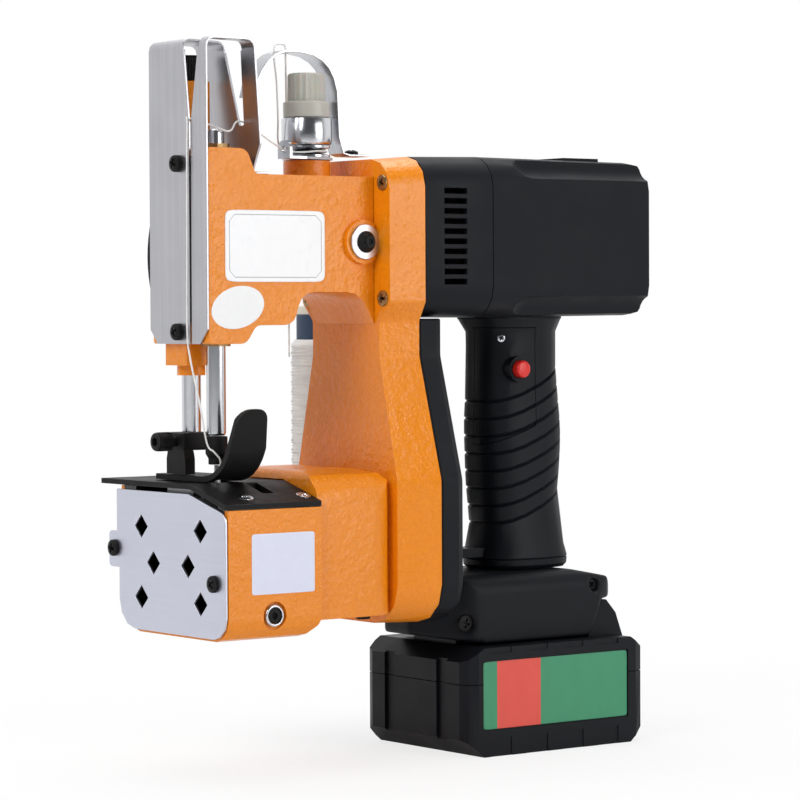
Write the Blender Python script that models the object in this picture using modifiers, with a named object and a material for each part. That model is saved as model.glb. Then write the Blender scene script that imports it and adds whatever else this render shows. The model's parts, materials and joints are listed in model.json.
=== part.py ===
"""Cordless bag closing machine: a hand-held single-thread chain stitcher on a slide-on battery.

Frame: origin at the middle of the battery's underside, +Z up, the needle end at -X, the motor
end at +X, and the cloth fed along Y. Everything is drawn in metres.
"""

import math

import bmesh
import bpy
import numpy as np
from mathutils import Matrix, Vector

MM = 0.001

# Fits
GAP = 0.3 * MM
SLIDE = 0.35 * MM
SMOOTH_ANGLE = math.radians(35)
SIDES = 16
SLIM_SIDES = 12
HIDDEN_SIDES = 12

# Battery and foot
BATTERY_LENGTH = 101 * MM
BATTERY_WIDTH = 75 * MM
BATTERY_HEIGHT = 47 * MM
BATTERY_SEAM = 31.5 * MM
BATTERY_CORNER = 6 * MM
BATTERY_CHAMFER = 9 * MM
BATTERY_WALL = 2.5 * MM
LABEL_LENGTH = 82 * MM
LABEL_HEIGHT = 30 * MM
LABEL_DEPTH = 0.6 * MM
RIM_TAB_PITCH = 20.2 * MM
RIM_TAB_WIDTH = 11.8 * MM
CELL_RADIUS = 9.2 * MM
CELL_PITCH = 18.2 * MM
CELL_LENGTH = 65 * MM
TONGUE_WIDTH = 30 * MM
TONGUE_HEIGHT = 6 * MM
HUMP_HEIGHT = 16 * MM
LATCH_TRAVEL = 3 * MM
FOOT_WIDTH = 56 * MM
FOOT_BOW_WIDTH = 16 * MM
FOOT_REAR = 42.5 * MM
FOOT_DECK = 30 * MM
FOOT_ROUND = 9 * MM
FOOT_HEEL = 16.5 * MM
FOOT_LEAN = 0.5

# Column and belt case
SPLIT_X = -69 * MM
COLUMN_DEPTH = 18 * MM
COLUMN_LIFT = 12.6 * MM
COLUMN_HEIGHT = 198.4 * MM
COLUMN_WALL = 2.8 * MM
NECK_WIDTH = 57.6 * MM
BASE_WIDTH = 87.8 * MM
BELT_CASE_DEPTH = 14 * MM
PLASTIC_WALL = 2.6 * MM

# Motor end
MOTOR_HEIGHT = 68 * MM
MOTOR_WIDTH = 66.8 * MM
MOTOR_CORNER = 13 * MM
MOTOR_SWELL = 0.8 * MM
MOTOR_SEAM_X = -33 * MM
MOTOR_REAR_X = 58 * MM
VENT_COUNT = 10
VENT_PITCH = 4.3 * MM
VENT_HEIGHT = 2.4 * MM
VENT_LENGTH = 12 * MM
STATOR_CLEARANCE = 1.9 * MM
STATOR_WALL = 7 * MM
STATOR_LENGTH = 66 * MM
ARMATURE_GAP = 0.8 * MM
ARMATURE_SLOTS = 12
MOTOR_SHAFT_RADIUS = 4 * MM
STATOR_SETBACK = 8 * MM
CHANNEL_RADIUS = 8.6 * MM
CHANNEL_START = -10 * MM
FAN_BLADES = 9

# Upper arm and head
ARM_REACH = 84 * MM
ARM_WIDTH = 42 * MM
ARM_DROP = 9 * MM
ARM_DEPTH = 48.7 * MM
ARM_WALL = 3 * MM
ARM_EDGE = 3.2 * MM
HEAD_DEPTH = 70 * MM
HEAD_CREST = 10.5 * MM
HEAD_LENGTH = 19 * MM
COVER_SHEET = 1 * MM
COVER_RISE = 56 * MM
COVER_BEND = 4.2 * MM
COVER_LENGTH = 27.6 * MM

# Needle and presser
BAR_RADIUS = 4 * MM
BAR_SPACING = 18.7 * MM
BAR_SETBACK = 11 * MM
PIVOT_SETBACK = 6.6 * MM
PIVOT_DROP = 27.6 * MM
NEEDLE_STROKE = 20.5 * MM
LEVER_THICKNESS = 5.2 * MM
LEVER_TAIL = 15.6 * MM
LEVER_PIN_RADIUS = 2.5 * MM
NEEDLE_RADIUS = 1.1 * MM
NEEDLE_LENGTH = 25 * MM
CHUCK_RADIUS = 4.6 * MM
CHUCK_LENGTH = 12 * MM
BAR_CLEARANCE = 19.5 * MM
SPRING_WIRE = 0.65 * MM
SPRING_RADIUS = 5.5 * MM
SPRING_TURNS = 10
SOLE_WIDTH = 18 * MM
SOLE_THICKNESS = 2.4 * MM
TOE_RISE = 31 * MM

# Lower arm
PLATE_RISE = 62 * MM
PLATE_THICKNESS = 2.2 * MM
PLATE_FAR_Y = 55.4 * MM
PLATE_BEND_Y = -13.6 * MM
PLATE_NEAR_Y = -39.5 * MM
PLATE_SLOPE_DROP = 7.4 * MM
BOX_LENGTH = 46.2 * MM
BOX_FRONT_LEAD = 3.5 * MM
BOX_NEAR_Y = -39.5 * MM
BOX_FAR_Y = 41.5 * MM
BOX_WALL = 2.6 * MM
BOX_LIFT = -1.6 * MM
LOWER_ARM_WIDTH = 74 * MM
LOWER_ARM_HEIGHT = 61.4 * MM
LOWER_ARM_LIFT = 5 * MM
LOWER_ARM_ROUND = 15 * MM
SHAFT_RISE = 35.4 * MM
SHAFT_RADIUS = 4 * MM
BEARING_RADIUS = 11 * MM
BEARING_WIDTH = 7 * MM
ECCENTRIC_THROW = 2.4 * MM
ECCENTRIC_RADIUS = 9 * MM
FEED_ECCENTRIC_RADIUS = 8.5 * MM
ROD_RADIUS = 3.5 * MM
FEED_TRAVEL = 4 * MM
LOOPER_SHEET = 1.2 * MM
DIAMOND_HALF = 5 * MM

# Belt drive
BELT_PITCH = 3 * MM
BELT_THICKNESS = 1.2 * MM
BELT_WIDTH = 6 * MM
MOTOR_TEETH = 16
SHAFT_TEETH = 56

# Thread
TENSION_SETBACK = 20 * MM
CUP_RADIUS = 10.7 * MM
KNOB_RADIUS = 8.1 * MM
KNOB_FLUTES = 18
TENSION_BOSS = 7 * MM
EYELET_REACH = 18 * MM
GUIDE_RISE = 52.5 * MM
GUIDE_WIDTH = 10.6 * MM
GUIDE_SHEET = 0.9 * MM
GUIDE_SHOULDER = 0.7
SPOOL_X = -32 * MM
SPOOL_CORE_RADIUS = 23.7 * MM
SPOOL_CORE_WALL = 2.5 * MM
SPOOL_CORE_HEIGHT = 97 * MM
PACKAGE_RADIUS = 27 * MM
PACKAGE_HEIGHT = 79 * MM
WINDING_TURNS = 5
WINDING_RADIUS = 0.6 * MM
SHELF_SHEET = 2 * MM
THREAD_RADIUS = 0.45 * MM

# Grip
GRIP_LENGTH = 43.4 * MM
GRIP_WIDTH = 32.4 * MM
GRIP_X = 4.3 * MM
GRIP_POWER = 2.7
GRIP_WALL = 2.8 * MM
GROOVE_COUNT = 8
GROOVE_PITCH = 7.7 * MM
GROOVE_DEPTH = 0.9 * MM
GROOVE_RISE = 16 * MM
GROOVE_DROP = 36.9 * MM
FLANGE_HEIGHT = 4.4 * MM
BUTTON_RADIUS = 3.8 * MM
BUTTON_TRAVEL = 3 * MM

# Levels and stations that follow from the sizes above
BATTERY_TOP = BATTERY_HEIGHT
BATTERY_FRONT = -BATTERY_LENGTH / 2
BATTERY_REAR = BATTERY_LENGTH / 2
COLUMN_BOTTOM = BATTERY_TOP + COLUMN_LIFT
COLUMN_TOP = COLUMN_BOTTOM + COLUMN_HEIGHT
COLUMN_FRONT = SPLIT_X - COLUMN_DEPTH
MOTOR_BOTTOM = COLUMN_TOP - MOTOR_HEIGHT
MOTOR_Z = COLUMN_TOP - MOTOR_HEIGHT / 2
STATOR_RADIUS = MOTOR_HEIGHT / 2 - PLASTIC_WALL - STATOR_CLEARANCE
BELT_CASE_REAR = SPLIT_X + BELT_CASE_DEPTH
ARM_TOP = COLUMN_TOP - ARM_DROP
ARM_BOTTOM = ARM_TOP - ARM_DEPTH
ARM_REAR = COLUMN_FRONT - GAP
HEAD_FRONT = COLUMN_FRONT - ARM_REACH
HEAD_BOTTOM = ARM_TOP - HEAD_DEPTH
HEAD_TOP = ARM_TOP + HEAD_CREST
COVER_TOP = ARM_TOP + COVER_RISE
GUIDE_CROWN = ARM_TOP + GUIDE_RISE
ARM_HALF = ARM_WIDTH / 2
BAR_X = HEAD_FRONT + BAR_SETBACK
NEEDLE_Y = -BAR_SPACING / 2
PRESSER_Y = BAR_SPACING / 2
PIVOT_X = COLUMN_FRONT - PIVOT_SETBACK
PIVOT_Z = ARM_TOP - PIVOT_DROP
LEVER_LENGTH = PIVOT_X - BAR_X
LEVER_DIP = math.asin(NEEDLE_STROKE / 2 / LEVER_LENGTH)
CROSSHEAD_Z = PIVOT_Z - NEEDLE_STROKE / 2
TAIL_X = PIVOT_X + LEVER_TAIL * math.cos(LEVER_DIP)
TAIL_Z = PIVOT_Z + LEVER_TAIL * math.sin(LEVER_DIP)
PLATE_TOP = COLUMN_BOTTOM + PLATE_RISE
PLATE_UNDER = PLATE_TOP - PLATE_THICKNESS
BAR_BOTTOM = PLATE_TOP + BAR_CLEARANCE
CHUCK_BOTTOM = BAR_BOTTOM - CHUCK_LENGTH
BOX_BOTTOM = COLUMN_BOTTOM + BOX_LIFT
BOX_TOP = PLATE_UNDER - GAP
BOX_FRONT = HEAD_FRONT - BOX_FRONT_LEAD
BOX_REAR = BOX_FRONT + BOX_LENGTH
LOWER_ARM_BOTTOM = COLUMN_BOTTOM + LOWER_ARM_LIFT
LOWER_ARM_TOP = LOWER_ARM_BOTTOM + LOWER_ARM_HEIGHT
SHAFT_Z = COLUMN_BOTTOM + SHAFT_RISE
PULLEY_X = SPLIT_X + BELT_CASE_DEPTH / 2 - 1 * MM
ECCENTRIC_X = SPLIT_X - COLUMN_DEPTH / 2 + 1.5 * MM
TENSION_X = COLUMN_FRONT - TENSION_SETBACK
TENSION_BASE = ARM_TOP + TENSION_BOSS
SPOOL_Y = BASE_WIDTH / 2 + PACKAGE_RADIUS + 3 * MM
SHELF_TOP = COLUMN_BOTTOM + 38 * MM
GRIP_TOP = MOTOR_BOTTOM - MOTOR_SWELL - GAP
FOOT_BOTTOM = BATTERY_TOP + 2 * GAP
FOOT_TOP = FOOT_BOTTOM + FOOT_DECK
GRIP_BASE = FOOT_TOP + GAP

COLLECTION = bpy.data.collections.new("bag_closer")
CUTTERS = bpy.data.collections.new("cutters")


def clear_scene():
    for obj in list(bpy.data.objects):
        bpy.data.objects.remove(obj, do_unlink=True)
    for group in (COLLECTION, CUTTERS):
        bpy.context.scene.collection.children.link(group)


def make_finish(name, colour, roughness, metallic):
    finish = bpy.data.materials.new(name)
    finish.use_nodes = True
    shader = finish.node_tree.nodes["Principled BSDF"]
    shader.inputs["Base Color"].default_value = (*colour, 1.0)
    shader.inputs["Roughness"].default_value = roughness
    shader.inputs["Metallic"].default_value = metallic
    finish.diffuse_color = (*colour, 1.0)
    return finish


ORANGE = make_finish("orange_paint", (0.85, 0.33, 0.03), 0.35, 0.0)
BLACK = make_finish("black_plastic", (0.018, 0.019, 0.022), 0.55, 0.0)
CHROME = make_finish("bright_steel", (0.72, 0.73, 0.76), 0.12, 1.0)
STEEL = make_finish("plain_steel", (0.45, 0.46, 0.48), 0.35, 1.0)
BLACKED = make_finish("blacked_steel", (0.03, 0.03, 0.033), 0.4, 0.6)
BRONZE = make_finish("bronze", (0.55, 0.36, 0.16), 0.4, 1.0)
IVORY = make_finish("ivory_nylon", (0.82, 0.79, 0.70), 0.45, 0.0)
WHITE = make_finish("white_nylon", (0.9, 0.9, 0.9), 0.5, 0.0)
RED = make_finish("red_plastic", (0.65, 0.02, 0.02), 0.35, 0.0)
BLUE = make_finish("blue_tube", (0.03, 0.05, 0.22), 0.5, 0.0)
THREAD = make_finish("white_thread", (0.86, 0.85, 0.80), 0.8, 0.0)
RUBBER = make_finish("belt_rubber", (0.02, 0.02, 0.02), 0.8, 0.0)
COPPER = make_finish("winding_copper", (0.6, 0.3, 0.12), 0.4, 1.0)
CELLS = make_finish("cell_sleeve", (0.1, 0.25, 0.2), 0.5, 0.0)


# Shapes: each returns a closed mesh in place

def finished(bm):
    bmesh.ops.remove_doubles(bm, verts=bm.verts, dist=1e-6)
    bmesh.ops.recalc_face_normals(bm, faces=bm.faces)
    if bm.calc_volume(signed=True) < 0:
        bmesh.ops.reverse_faces(bm, faces=bm.faces)
    mesh = bpy.data.meshes.new("shape")
    bm.to_mesh(mesh)
    bm.free()
    return mesh


def evaluated(obj):
    """The object's evaluated mesh in world space; the object itself is removed."""
    bpy.context.view_layer.update()
    graph = bpy.context.evaluated_depsgraph_get()
    mesh = bpy.data.meshes.new_from_object(obj.evaluated_get(graph))
    mesh.transform(obj.matrix_world)
    bpy.data.objects.remove(obj, do_unlink=True)
    bm = bmesh.new()
    bm.from_mesh(mesh)
    return finished(bm)


def block(low, high):
    low, high = Vector(low), Vector(high)
    bm = bmesh.new()
    place = Matrix.Translation((low + high) / 2) @ Matrix.Diagonal((*(high - low), 1.0))
    bmesh.ops.create_cube(bm, size=1.0, matrix=place)
    return finished(bm)


def rod(start, end, radius, end_radius=None, sides=None):
    sides = sides or (SIDES if radius > 5 * MM else SLIM_SIDES)
    start, end = Vector(start), Vector(end)
    along = end - start
    place = Matrix.Translation((start + end) / 2) @ along.to_track_quat("Z", "Y").to_matrix().to_4x4()
    bm = bmesh.new()
    bmesh.ops.create_cone(
        bm, cap_ends=True, segments=sides, radius1=radius,
        radius2=radius if end_radius is None else end_radius, depth=along.length, matrix=place)
    return finished(bm)


def outline(*corners, steps=3):
    """Closed outline through corners (u, v, radius), each rounded by an arc of its radius."""
    points = []
    count = len(corners)
    for i, (u, v, radius) in enumerate(corners):
        here = Vector((u, v))
        back = Vector(corners[i - 1][:2]) - here
        ahead = Vector(corners[(i + 1) % count][:2]) - here
        if radius <= 0:
            points.append((u, v))
            continue
        half = back.angle(ahead) / 2
        reach = min(radius / math.tan(half), 0.49 * back.length, 0.49 * ahead.length)
        bend = reach * math.tan(half)
        centre = here + (back.normalized() + ahead.normalized()).normalized() * (bend / math.sin(half))
        first = here + back.normalized() * reach - centre
        last = here + ahead.normalized() * reach - centre
        sweep = first.angle_signed(last)
        for step in range(steps + 1):
            turn = Matrix.Rotation(-sweep * step / steps, 2)
            points.append(tuple(centre + turn @ first))
    return points


def mirrored(*half):
    """Corners of an outline that is symmetric about u = 0, from its right half, top to bottom."""
    return [*half, *[(-u, v, r) for u, v, r in reversed(half)]]


TURNS = {
    "x": Matrix(((0, 0, 1, 0), (1, 0, 0, 0), (0, 1, 0, 0), (0, 0, 0, 1))),
    "y": Matrix(((1, 0, 0, 0), (0, 0, -1, 0), (0, 1, 0, 0), (0, 0, 0, 1))),
    "z": Matrix.Identity(4),
}
NORMALS = {"x": Vector((1, 0, 0)), "y": Vector((0, 1, 0)), "z": Vector((0, 0, 1))}


def slab(points, axis, low, high):
    """A flat outline drawn in millimetres and thickened along an axis, from low to high."""
    curve = bpy.data.curves.new("outline", "CURVE")
    curve.dimensions = "2D"
    curve.fill_mode = "BOTH"
    curve.extrude = (high - low) / 2 / MM
    spline = curve.splines.new("POLY")
    spline.points.add(len(points) - 1)
    for point, (u, v) in zip(spline.points, points):
        point.co = (u / MM, v / MM, 0, 1)
    spline.use_cyclic_u = True
    holder = bpy.data.objects.new("outline", curve)
    CUTTERS.objects.link(holder)
    holder.matrix_world = (
        Matrix.Translation(NORMALS[axis] * (low + high) / 2) @ TURNS[axis] @ Matrix.Scale(MM, 4))
    return evaluated(holder)


def turned(profile, base=(0, 0, 0), axis="z", closed=False, sides=SIDES):
    """A profile of (radius, height) points, outer side from top to bottom, turned about an axis."""
    mesh = bpy.data.meshes.new("profile")
    edges = [(i, i + 1) for i in range(len(profile) - 1)]
    if closed:
        edges.append((len(profile) - 1, 0))
    mesh.from_pydata([(r, 0, h) for r, h in profile], edges, [])
    holder = bpy.data.objects.new("profile", mesh)
    CUTTERS.objects.link(holder)
    screw = holder.modifiers.new("turn", "SCREW")
    screw.steps = sides
    screw.render_steps = sides
    screw.use_merge_vertices = True
    screw.merge_threshold = 0.000001
    turn = NORMALS["z"].rotation_difference(NORMALS[axis]).to_matrix().to_4x4()
    holder.matrix_world = Matrix.Translation(base) @ turn
    return evaluated(holder)


def ring(inner, outer, low, high, base=(0, 0, 0), axis="z", sides=SIDES):
    profile = [(outer, high), (outer, low), (inner, low), (inner, high)]
    return turned(profile, base, axis, closed=True, sides=sides)


def loft(sections, split=False):
    """A closed body through rings of equal counts of points; split halves its warped faces."""
    bm = bmesh.new()
    rows = [[bm.verts.new(p) for p in section] for section in sections]
    count = len(rows[0])
    for lower, upper in zip(rows, rows[1:]):
        for i in range(count):
            j = (i + 1) % count
            bm.faces.new((lower[i], lower[j], upper[j], upper[i]))
    if split:
        bmesh.ops.triangulate(bm, faces=bm.faces)
    bm.faces.new(rows[0])
    bm.faces.new(rows[-1])
    return finished(bm)


def tube(points, radius, resolution=2):
    curve = bpy.data.curves.new("route", "CURVE")
    curve.dimensions = "3D"
    curve.bevel_depth = radius
    curve.bevel_resolution = resolution
    curve.use_fill_caps = True
    spline = curve.splines.new("POLY")
    spline.points.add(len(points) - 1)
    for point, place in zip(spline.points, points):
        point.co = (*place, 1)
    holder = bpy.data.objects.new("route", curve)
    CUTTERS.objects.link(holder)
    return evaluated(holder)


def coil(axis, radius, low, high, turns, per_turn, wire):
    """A winding's points: its turns rise evenly, and both ends run on straight by the wire's diameter."""
    turn = 2 * math.pi * np.arange(turns * per_turn + 1) / per_turn
    rise = low + (high - low) * turn / turn[-1]
    points = np.column_stack((
        axis[0] + radius * np.cos(turn), axis[1] + radius * np.sin(turn), rise))
    first, last = points[0] - points[1], points[-1] - points[-2]
    start = points[0] + first / np.linalg.norm(first) * 2 * wire
    end = points[-1] + last / np.linalg.norm(last) * 2 * wire
    return np.vstack((start, points, end))


def least_gap(points, per_turn, wire):
    """Least gap of a winding to itself, measured between points half a turn or more apart."""
    steps = np.arange(len(points))
    apart = np.linalg.norm(points[:, None] - points[None], axis=2)
    far = np.abs(steps[:, None] - steps[None]) >= per_turn // 2
    return apart[far].min() - 2 * wire


def combine(obj, operation, mesh):
    cutter = bpy.data.objects.new("cutter", mesh)
    CUTTERS.objects.link(cutter)
    cutter.hide_render = True
    cutter.display_type = "WIRE"
    boolean = obj.modifiers.new(operation.lower(), "BOOLEAN")
    boolean.operation = operation
    boolean.object = cutter


def cut(obj, *meshes):
    for mesh in meshes:
        combine(obj, "DIFFERENCE", mesh)


def fuse(obj, *meshes):
    for mesh in meshes:
        combine(obj, "UNION", mesh)


def keep(obj, *meshes):
    for mesh in meshes:
        combine(obj, "INTERSECT", mesh)


def round_edges(obj, width, segments=2, angle=50):
    bevel = obj.modifiers.new("edges", "BEVEL")
    bevel.width = width
    bevel.segments = segments
    bevel.limit_method = "ANGLE"
    bevel.angle_limit = math.radians(angle)


def part(name, mesh, finish, pivot=None):
    """A named piece. A moving one hangs from the empty on its joint's axis."""
    mesh.name = name
    mesh.materials.append(finish)
    mesh.shade_smooth()
    mesh.set_sharp_from_angle(angle=SMOOTH_ANGLE)
    obj = bpy.data.objects.new(name, mesh)
    COLLECTION.objects.link(obj)
    if pivot is not None:
        mesh.transform(Matrix.Translation(-pivot.location))
        obj.parent = pivot
    return obj


def pivot_at(name, place):
    empty = bpy.data.objects.new(name, None)
    empty.empty_display_size = 10 * MM
    empty.location = place
    COLLECTION.objects.link(empty)
    bpy.context.view_layer.update()
    return empty


def sketch(mesh):
    """A shape still being worked: it is read back with evaluated()."""
    obj = bpy.data.objects.new("sketch", mesh)
    CUTTERS.objects.link(obj)
    return obj


# Castings

def column_half(inset, front):
    """Right half of the column's outline: motor flange, waist and flared base."""
    flange = MOTOR_WIDTH / 2 - (1.4 * MM if front else 0) - inset
    waist = NECK_WIDTH / 2 - (4.5 * MM if front else 0) - inset
    base = BASE_WIDTH / 2 - (7.4 * MM if front else 0) - inset
    top = COLUMN_TOP - (1.4 * MM if front else 0) - inset
    bottom = COLUMN_BOTTOM + inset
    step = MOTOR_BOTTOM + 6 * MM
    return [
        (flange, top, MOTOR_CORNER - inset),
        (flange, step, 3 * MM),
        (waist, step - 8 * MM, 3 * MM),
        (waist, step - 23 * MM, 10 * MM),
        (base, SHAFT_Z + 25.5 * MM, 12 * MM),
        (base, bottom, 17 * MM - inset),
    ]


def column_section(x, inset, front):
    return [(x, y, z) for y, z in outline(*mirrored(*column_half(inset, front)))]


def lever_window(low_x, high_x):
    half = LEVER_THICKNESS / 2
    return block((low_x, -half - 2.5 * MM, PIVOT_Z - 13 * MM), (high_x, half + 9 * MM, PIVOT_Z + 14 * MM))


def make_column():
    body = part("column_housing", loft([
        column_section(COLUMN_FRONT, 0, True),
        column_section(SPLIT_X - GAP / 2, 0, False)]), ORANGE)
    half = LOWER_ARM_WIDTH / 2
    front, rear = BOX_REAR + GAP, COLUMN_FRONT + 2.5 * MM
    low, high = LOWER_ARM_BOTTOM, LOWER_ARM_TOP
    arm = sketch(slab(outline(
        (front, -half, 0), (rear, -half, LOWER_ARM_ROUND), (rear, half, LOWER_ARM_ROUND),
        (front, half, 0)), "z", low, high))
    keep(arm, slab(outline(
        (-half, low, 0), (half, low, 0), (half, high, LOWER_ARM_ROUND), (-half, high, LOWER_ARM_ROUND)),
        "x", front - 1 * MM, rear + 1 * MM))
    keep(arm, slab(outline(
        (front, low, 0), (rear, low, 0), (rear, high, LOWER_ARM_ROUND), (front, high, 4 * MM)),
        "y", -half - 1 * MM, half + 1 * MM))
    fuse(body, evaluated(arm))
    cut(body, loft([
        column_section(COLUMN_FRONT + COLUMN_WALL, COLUMN_WALL, True),
        column_section(SPLIT_X + 2 * MM, COLUMN_WALL, False)]))
    pocket = half - COLUMN_WALL
    for side in (-1, 1):
        low_y, high_y = sorted((side * (BEARING_RADIUS + 4 * MM), side * pocket))
        cut(body, block(
            (front - 1 * MM, low_y, low + COLUMN_WALL),
            (COLUMN_FRONT - 5 * MM, high_y, high - LOWER_ARM_ROUND)))
    web = BEARING_RADIUS + 4 * MM
    for low_z, high_z in ((low + COLUMN_WALL, SHAFT_Z - web), (SHAFT_Z + web, high - 4 * MM)):
        cut(body, block((front - 1 * MM, -web + 3 * MM, low_z), (COLUMN_FRONT - 8 * MM, web - 3 * MM, high_z)))
    cut(body, block(
        (front + 2 * MM + BEARING_WIDTH + 2 * MM, -web - 1 * MM, low + COLUMN_WALL),
        (COLUMN_FRONT - BEARING_WIDTH, web + 1 * MM, high - LOWER_ARM_ROUND)))
    seat = BEARING_RADIUS + SLIDE
    cut(body, rod((front - 1 * MM, 0, SHAFT_Z), (COLUMN_FRONT + COLUMN_WALL + 1 * MM, 0, SHAFT_Z), seat))
    cut(body, lever_window(COLUMN_FRONT - 1 * MM, COLUMN_FRONT + COLUMN_WALL + 1 * MM))


def make_upper_arm():
    tail = HEAD_FRONT + HEAD_LENGTH
    body = part("upper_arm", slab(outline(
        (HEAD_FRONT, HEAD_BOTTOM, 1 * MM),
        (tail - 0.5 * MM, HEAD_BOTTOM, 5 * MM),
        (tail + 4.5 * MM, HEAD_BOTTOM + 7.6 * MM, 4 * MM),
        (tail + 23.5 * MM, HEAD_BOTTOM + 7.6 * MM, 6 * MM),
        (tail + 27.5 * MM, ARM_BOTTOM, 8 * MM),
        (ARM_REAR - 7 * MM, ARM_BOTTOM, 12 * MM),
        (ARM_REAR, ARM_BOTTOM - 13.5 * MM, 0),
        (ARM_REAR, ARM_TOP, 0),
        (tail + 4.5 * MM, ARM_TOP, 2.5 * MM),
        (tail, HEAD_TOP, 5 * MM),
        (HEAD_FRONT, HEAD_TOP, 1 * MM)), "y", -ARM_HALF, ARM_HALF), ORANGE)
    round_edges(body, ARM_EDGE, 2)
    inner = ARM_HALF - ARM_WALL
    boss = ARM_HALF + 2 * MM
    stud = 9.3 * MM
    spring = SPRING_RADIUS + SPRING_WIRE + 0.6 * MM
    start = math.acos((PIVOT_SETBACK - GAP - 0.6 * MM) / stud)
    steps = 20
    turns = [start + (2 * math.pi - 2 * start) * step / steps for step in range(steps + 1)]
    fuse(body, slab(
        [(PIVOT_X + stud * math.cos(turn), PIVOT_Z + stud * math.sin(turn)) for turn in turns],
        "y", -boss, -inner - 1 * MM))
    fuse(body, rod((TENSION_X, 0, ARM_TOP - 3 * MM), (TENSION_X, 0, TENSION_BASE), CUP_RADIUS - 0.6 * MM))
    fuse(body, rod(
        (BAR_X, PRESSER_Y, HEAD_TOP - 4 * MM), (BAR_X, PRESSER_Y, HEAD_TOP + 28.5 * MM), spring + 1.8 * MM))
    fuse(body, block(
        (HEAD_FRONT + 2 * MM, -1 * MM, HEAD_BOTTOM - 9 * MM),
        (BAR_X + 9 * MM, PRESSER_Y + 5.6 * MM, HEAD_BOTTOM + 3 * MM)))
    fuse(body, rod(
        (BAR_X, PRESSER_Y, HEAD_BOTTOM - 13.2 * MM), (BAR_X, PRESSER_Y, HEAD_BOTTOM), BAR_RADIUS + 2 * MM))
    floor = HEAD_BOTTOM + 8.5 * MM
    cut(body, block((HEAD_FRONT - 5 * MM, -inner, floor), (tail + 5 * MM, inner, HEAD_TOP - ARM_WALL)))
    cut(body, block((tail, -inner, ARM_BOTTOM + ARM_WALL), (ARM_REAR - 4 * MM, inner, ARM_TOP - ARM_WALL)))
    cut(body, block(
        (HEAD_FRONT + 8 * MM, 0, floor + 6 * MM), (tail + 16 * MM, ARM_HALF + 5 * MM, ARM_TOP - 12 * MM)))
    cut(body, lever_window(ARM_REAR - 6 * MM, ARM_REAR + 1 * MM))
    bush = BAR_RADIUS + 2.5 * MM
    cut(body, rod((BAR_X, NEEDLE_Y, HEAD_BOTTOM - 2 * MM), (BAR_X, NEEDLE_Y, HEAD_TOP + 2 * MM), bush))
    cut(body, rod(
        (BAR_X, PRESSER_Y, HEAD_BOTTOM - 15 * MM), (BAR_X, PRESSER_Y, floor + 1 * MM), BAR_RADIUS + SLIDE))
    cut(body, rod(
        (BAR_X, PRESSER_Y, floor + 1 * MM), (BAR_X, PRESSER_Y, HEAD_TOP + 30 * MM), spring))
    cut(body, rod(
        (PIVOT_X, -boss - 1 * MM, PIVOT_Z), (PIVOT_X, ARM_HALF - 1.5 * MM, PIVOT_Z), BAR_RADIUS + SLIDE))
    cut(body, rod((TENSION_X, 0, ARM_TOP - ARM_WALL - 1 * MM), (TENSION_X, 0, TENSION_BASE + 1 * MM), 2.8 * MM))


def make_face_cover():
    """A sheet bent over the head, with one tapering thread slot up its front, over its top and down its rear."""
    sheet = COVER_SHEET
    front = HEAD_FRONT - GAP - sheet
    back = front + COVER_LENGTH
    slope = 3 * MM
    low, foot = HEAD_BOTTOM, ARM_TOP + GAP
    width = ARM_HALF + 0.5 * MM
    bend = COVER_BEND
    body = part("face_cover", slab(outline(
        (front, low, 0), (front, COVER_TOP, bend), (back - slope, COVER_TOP, bend),
        (back, foot + 12 * MM, 0), (back, foot + sheet, 0), (back + 7.5 * MM, foot + sheet, 0),
        (back + 7.5 * MM, foot, 0), (back - sheet, foot, 0), (back - sheet, foot + 12 * MM, 0),
        (back - slope - sheet, COVER_TOP - sheet, bend - sheet),
        (front + sheet, COVER_TOP - sheet, bend - sheet), (front + sheet, low, 0)), "y", -width, width), CHROME)
    slot = NEEDLE_Y
    mouth = COVER_TOP + 1 * MM
    throat = COVER_TOP - 35.5 * MM
    near, far = slot - 7.3 * MM, slot + 5.2 * MM
    cut(body, slab(outline(
        (near, mouth, 0), (far, mouth, 0), (slot + 0.7 * MM, throat, 0),
        (slot + 0.7 * MM, low - 2 * MM, 0), (slot - 0.7 * MM, low - 2 * MM, 0),
        (slot - 0.7 * MM, throat, 0)), "x", front - 2 * MM, front + sheet + 0.2 * MM))
    rear_near, rear_far = slot - 2.4 * MM, slot + 11.2 * MM
    cut(body, slab(outline(
        (rear_near, mouth, 0), (rear_far, mouth, 0), (slot + 2.2 * MM, throat, 0.8 * MM),
        (slot - 1.2 * MM, throat, 0.8 * MM)), "x", back - slope - sheet - 0.2 * MM, back + 1 * MM))
    cut(body, slab([
        (front - 1 * MM, near), (back, rear_near), (back, rear_far), (front - 1 * MM, far)],
        "z", COVER_TOP - bend - 0.5 * MM, mouth))
    for side in (-1, 1):
        cut(body, slab([
            (side * (width - 5.4 * MM), low - 2 * MM), (side * (width + 2 * MM), low - 2 * MM),
            (side * (width + 2 * MM), low + 8 * MM), (side * width, low + 6 * MM),
            (side * (width - 5.4 * MM), low)], "x", front - 2 * MM, front + sheet + 2 * MM))
        cut(body, slab([
            (side * (width + 1 * MM), foot + 14 * MM), (side * (width - 6 * MM), foot + 1 * MM),
            (side * (width - 6 * MM), foot - 2 * MM), (side * (width + 1 * MM), foot - 2 * MM)],
            "x", back - 6 * MM, back + 9 * MM))


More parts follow.
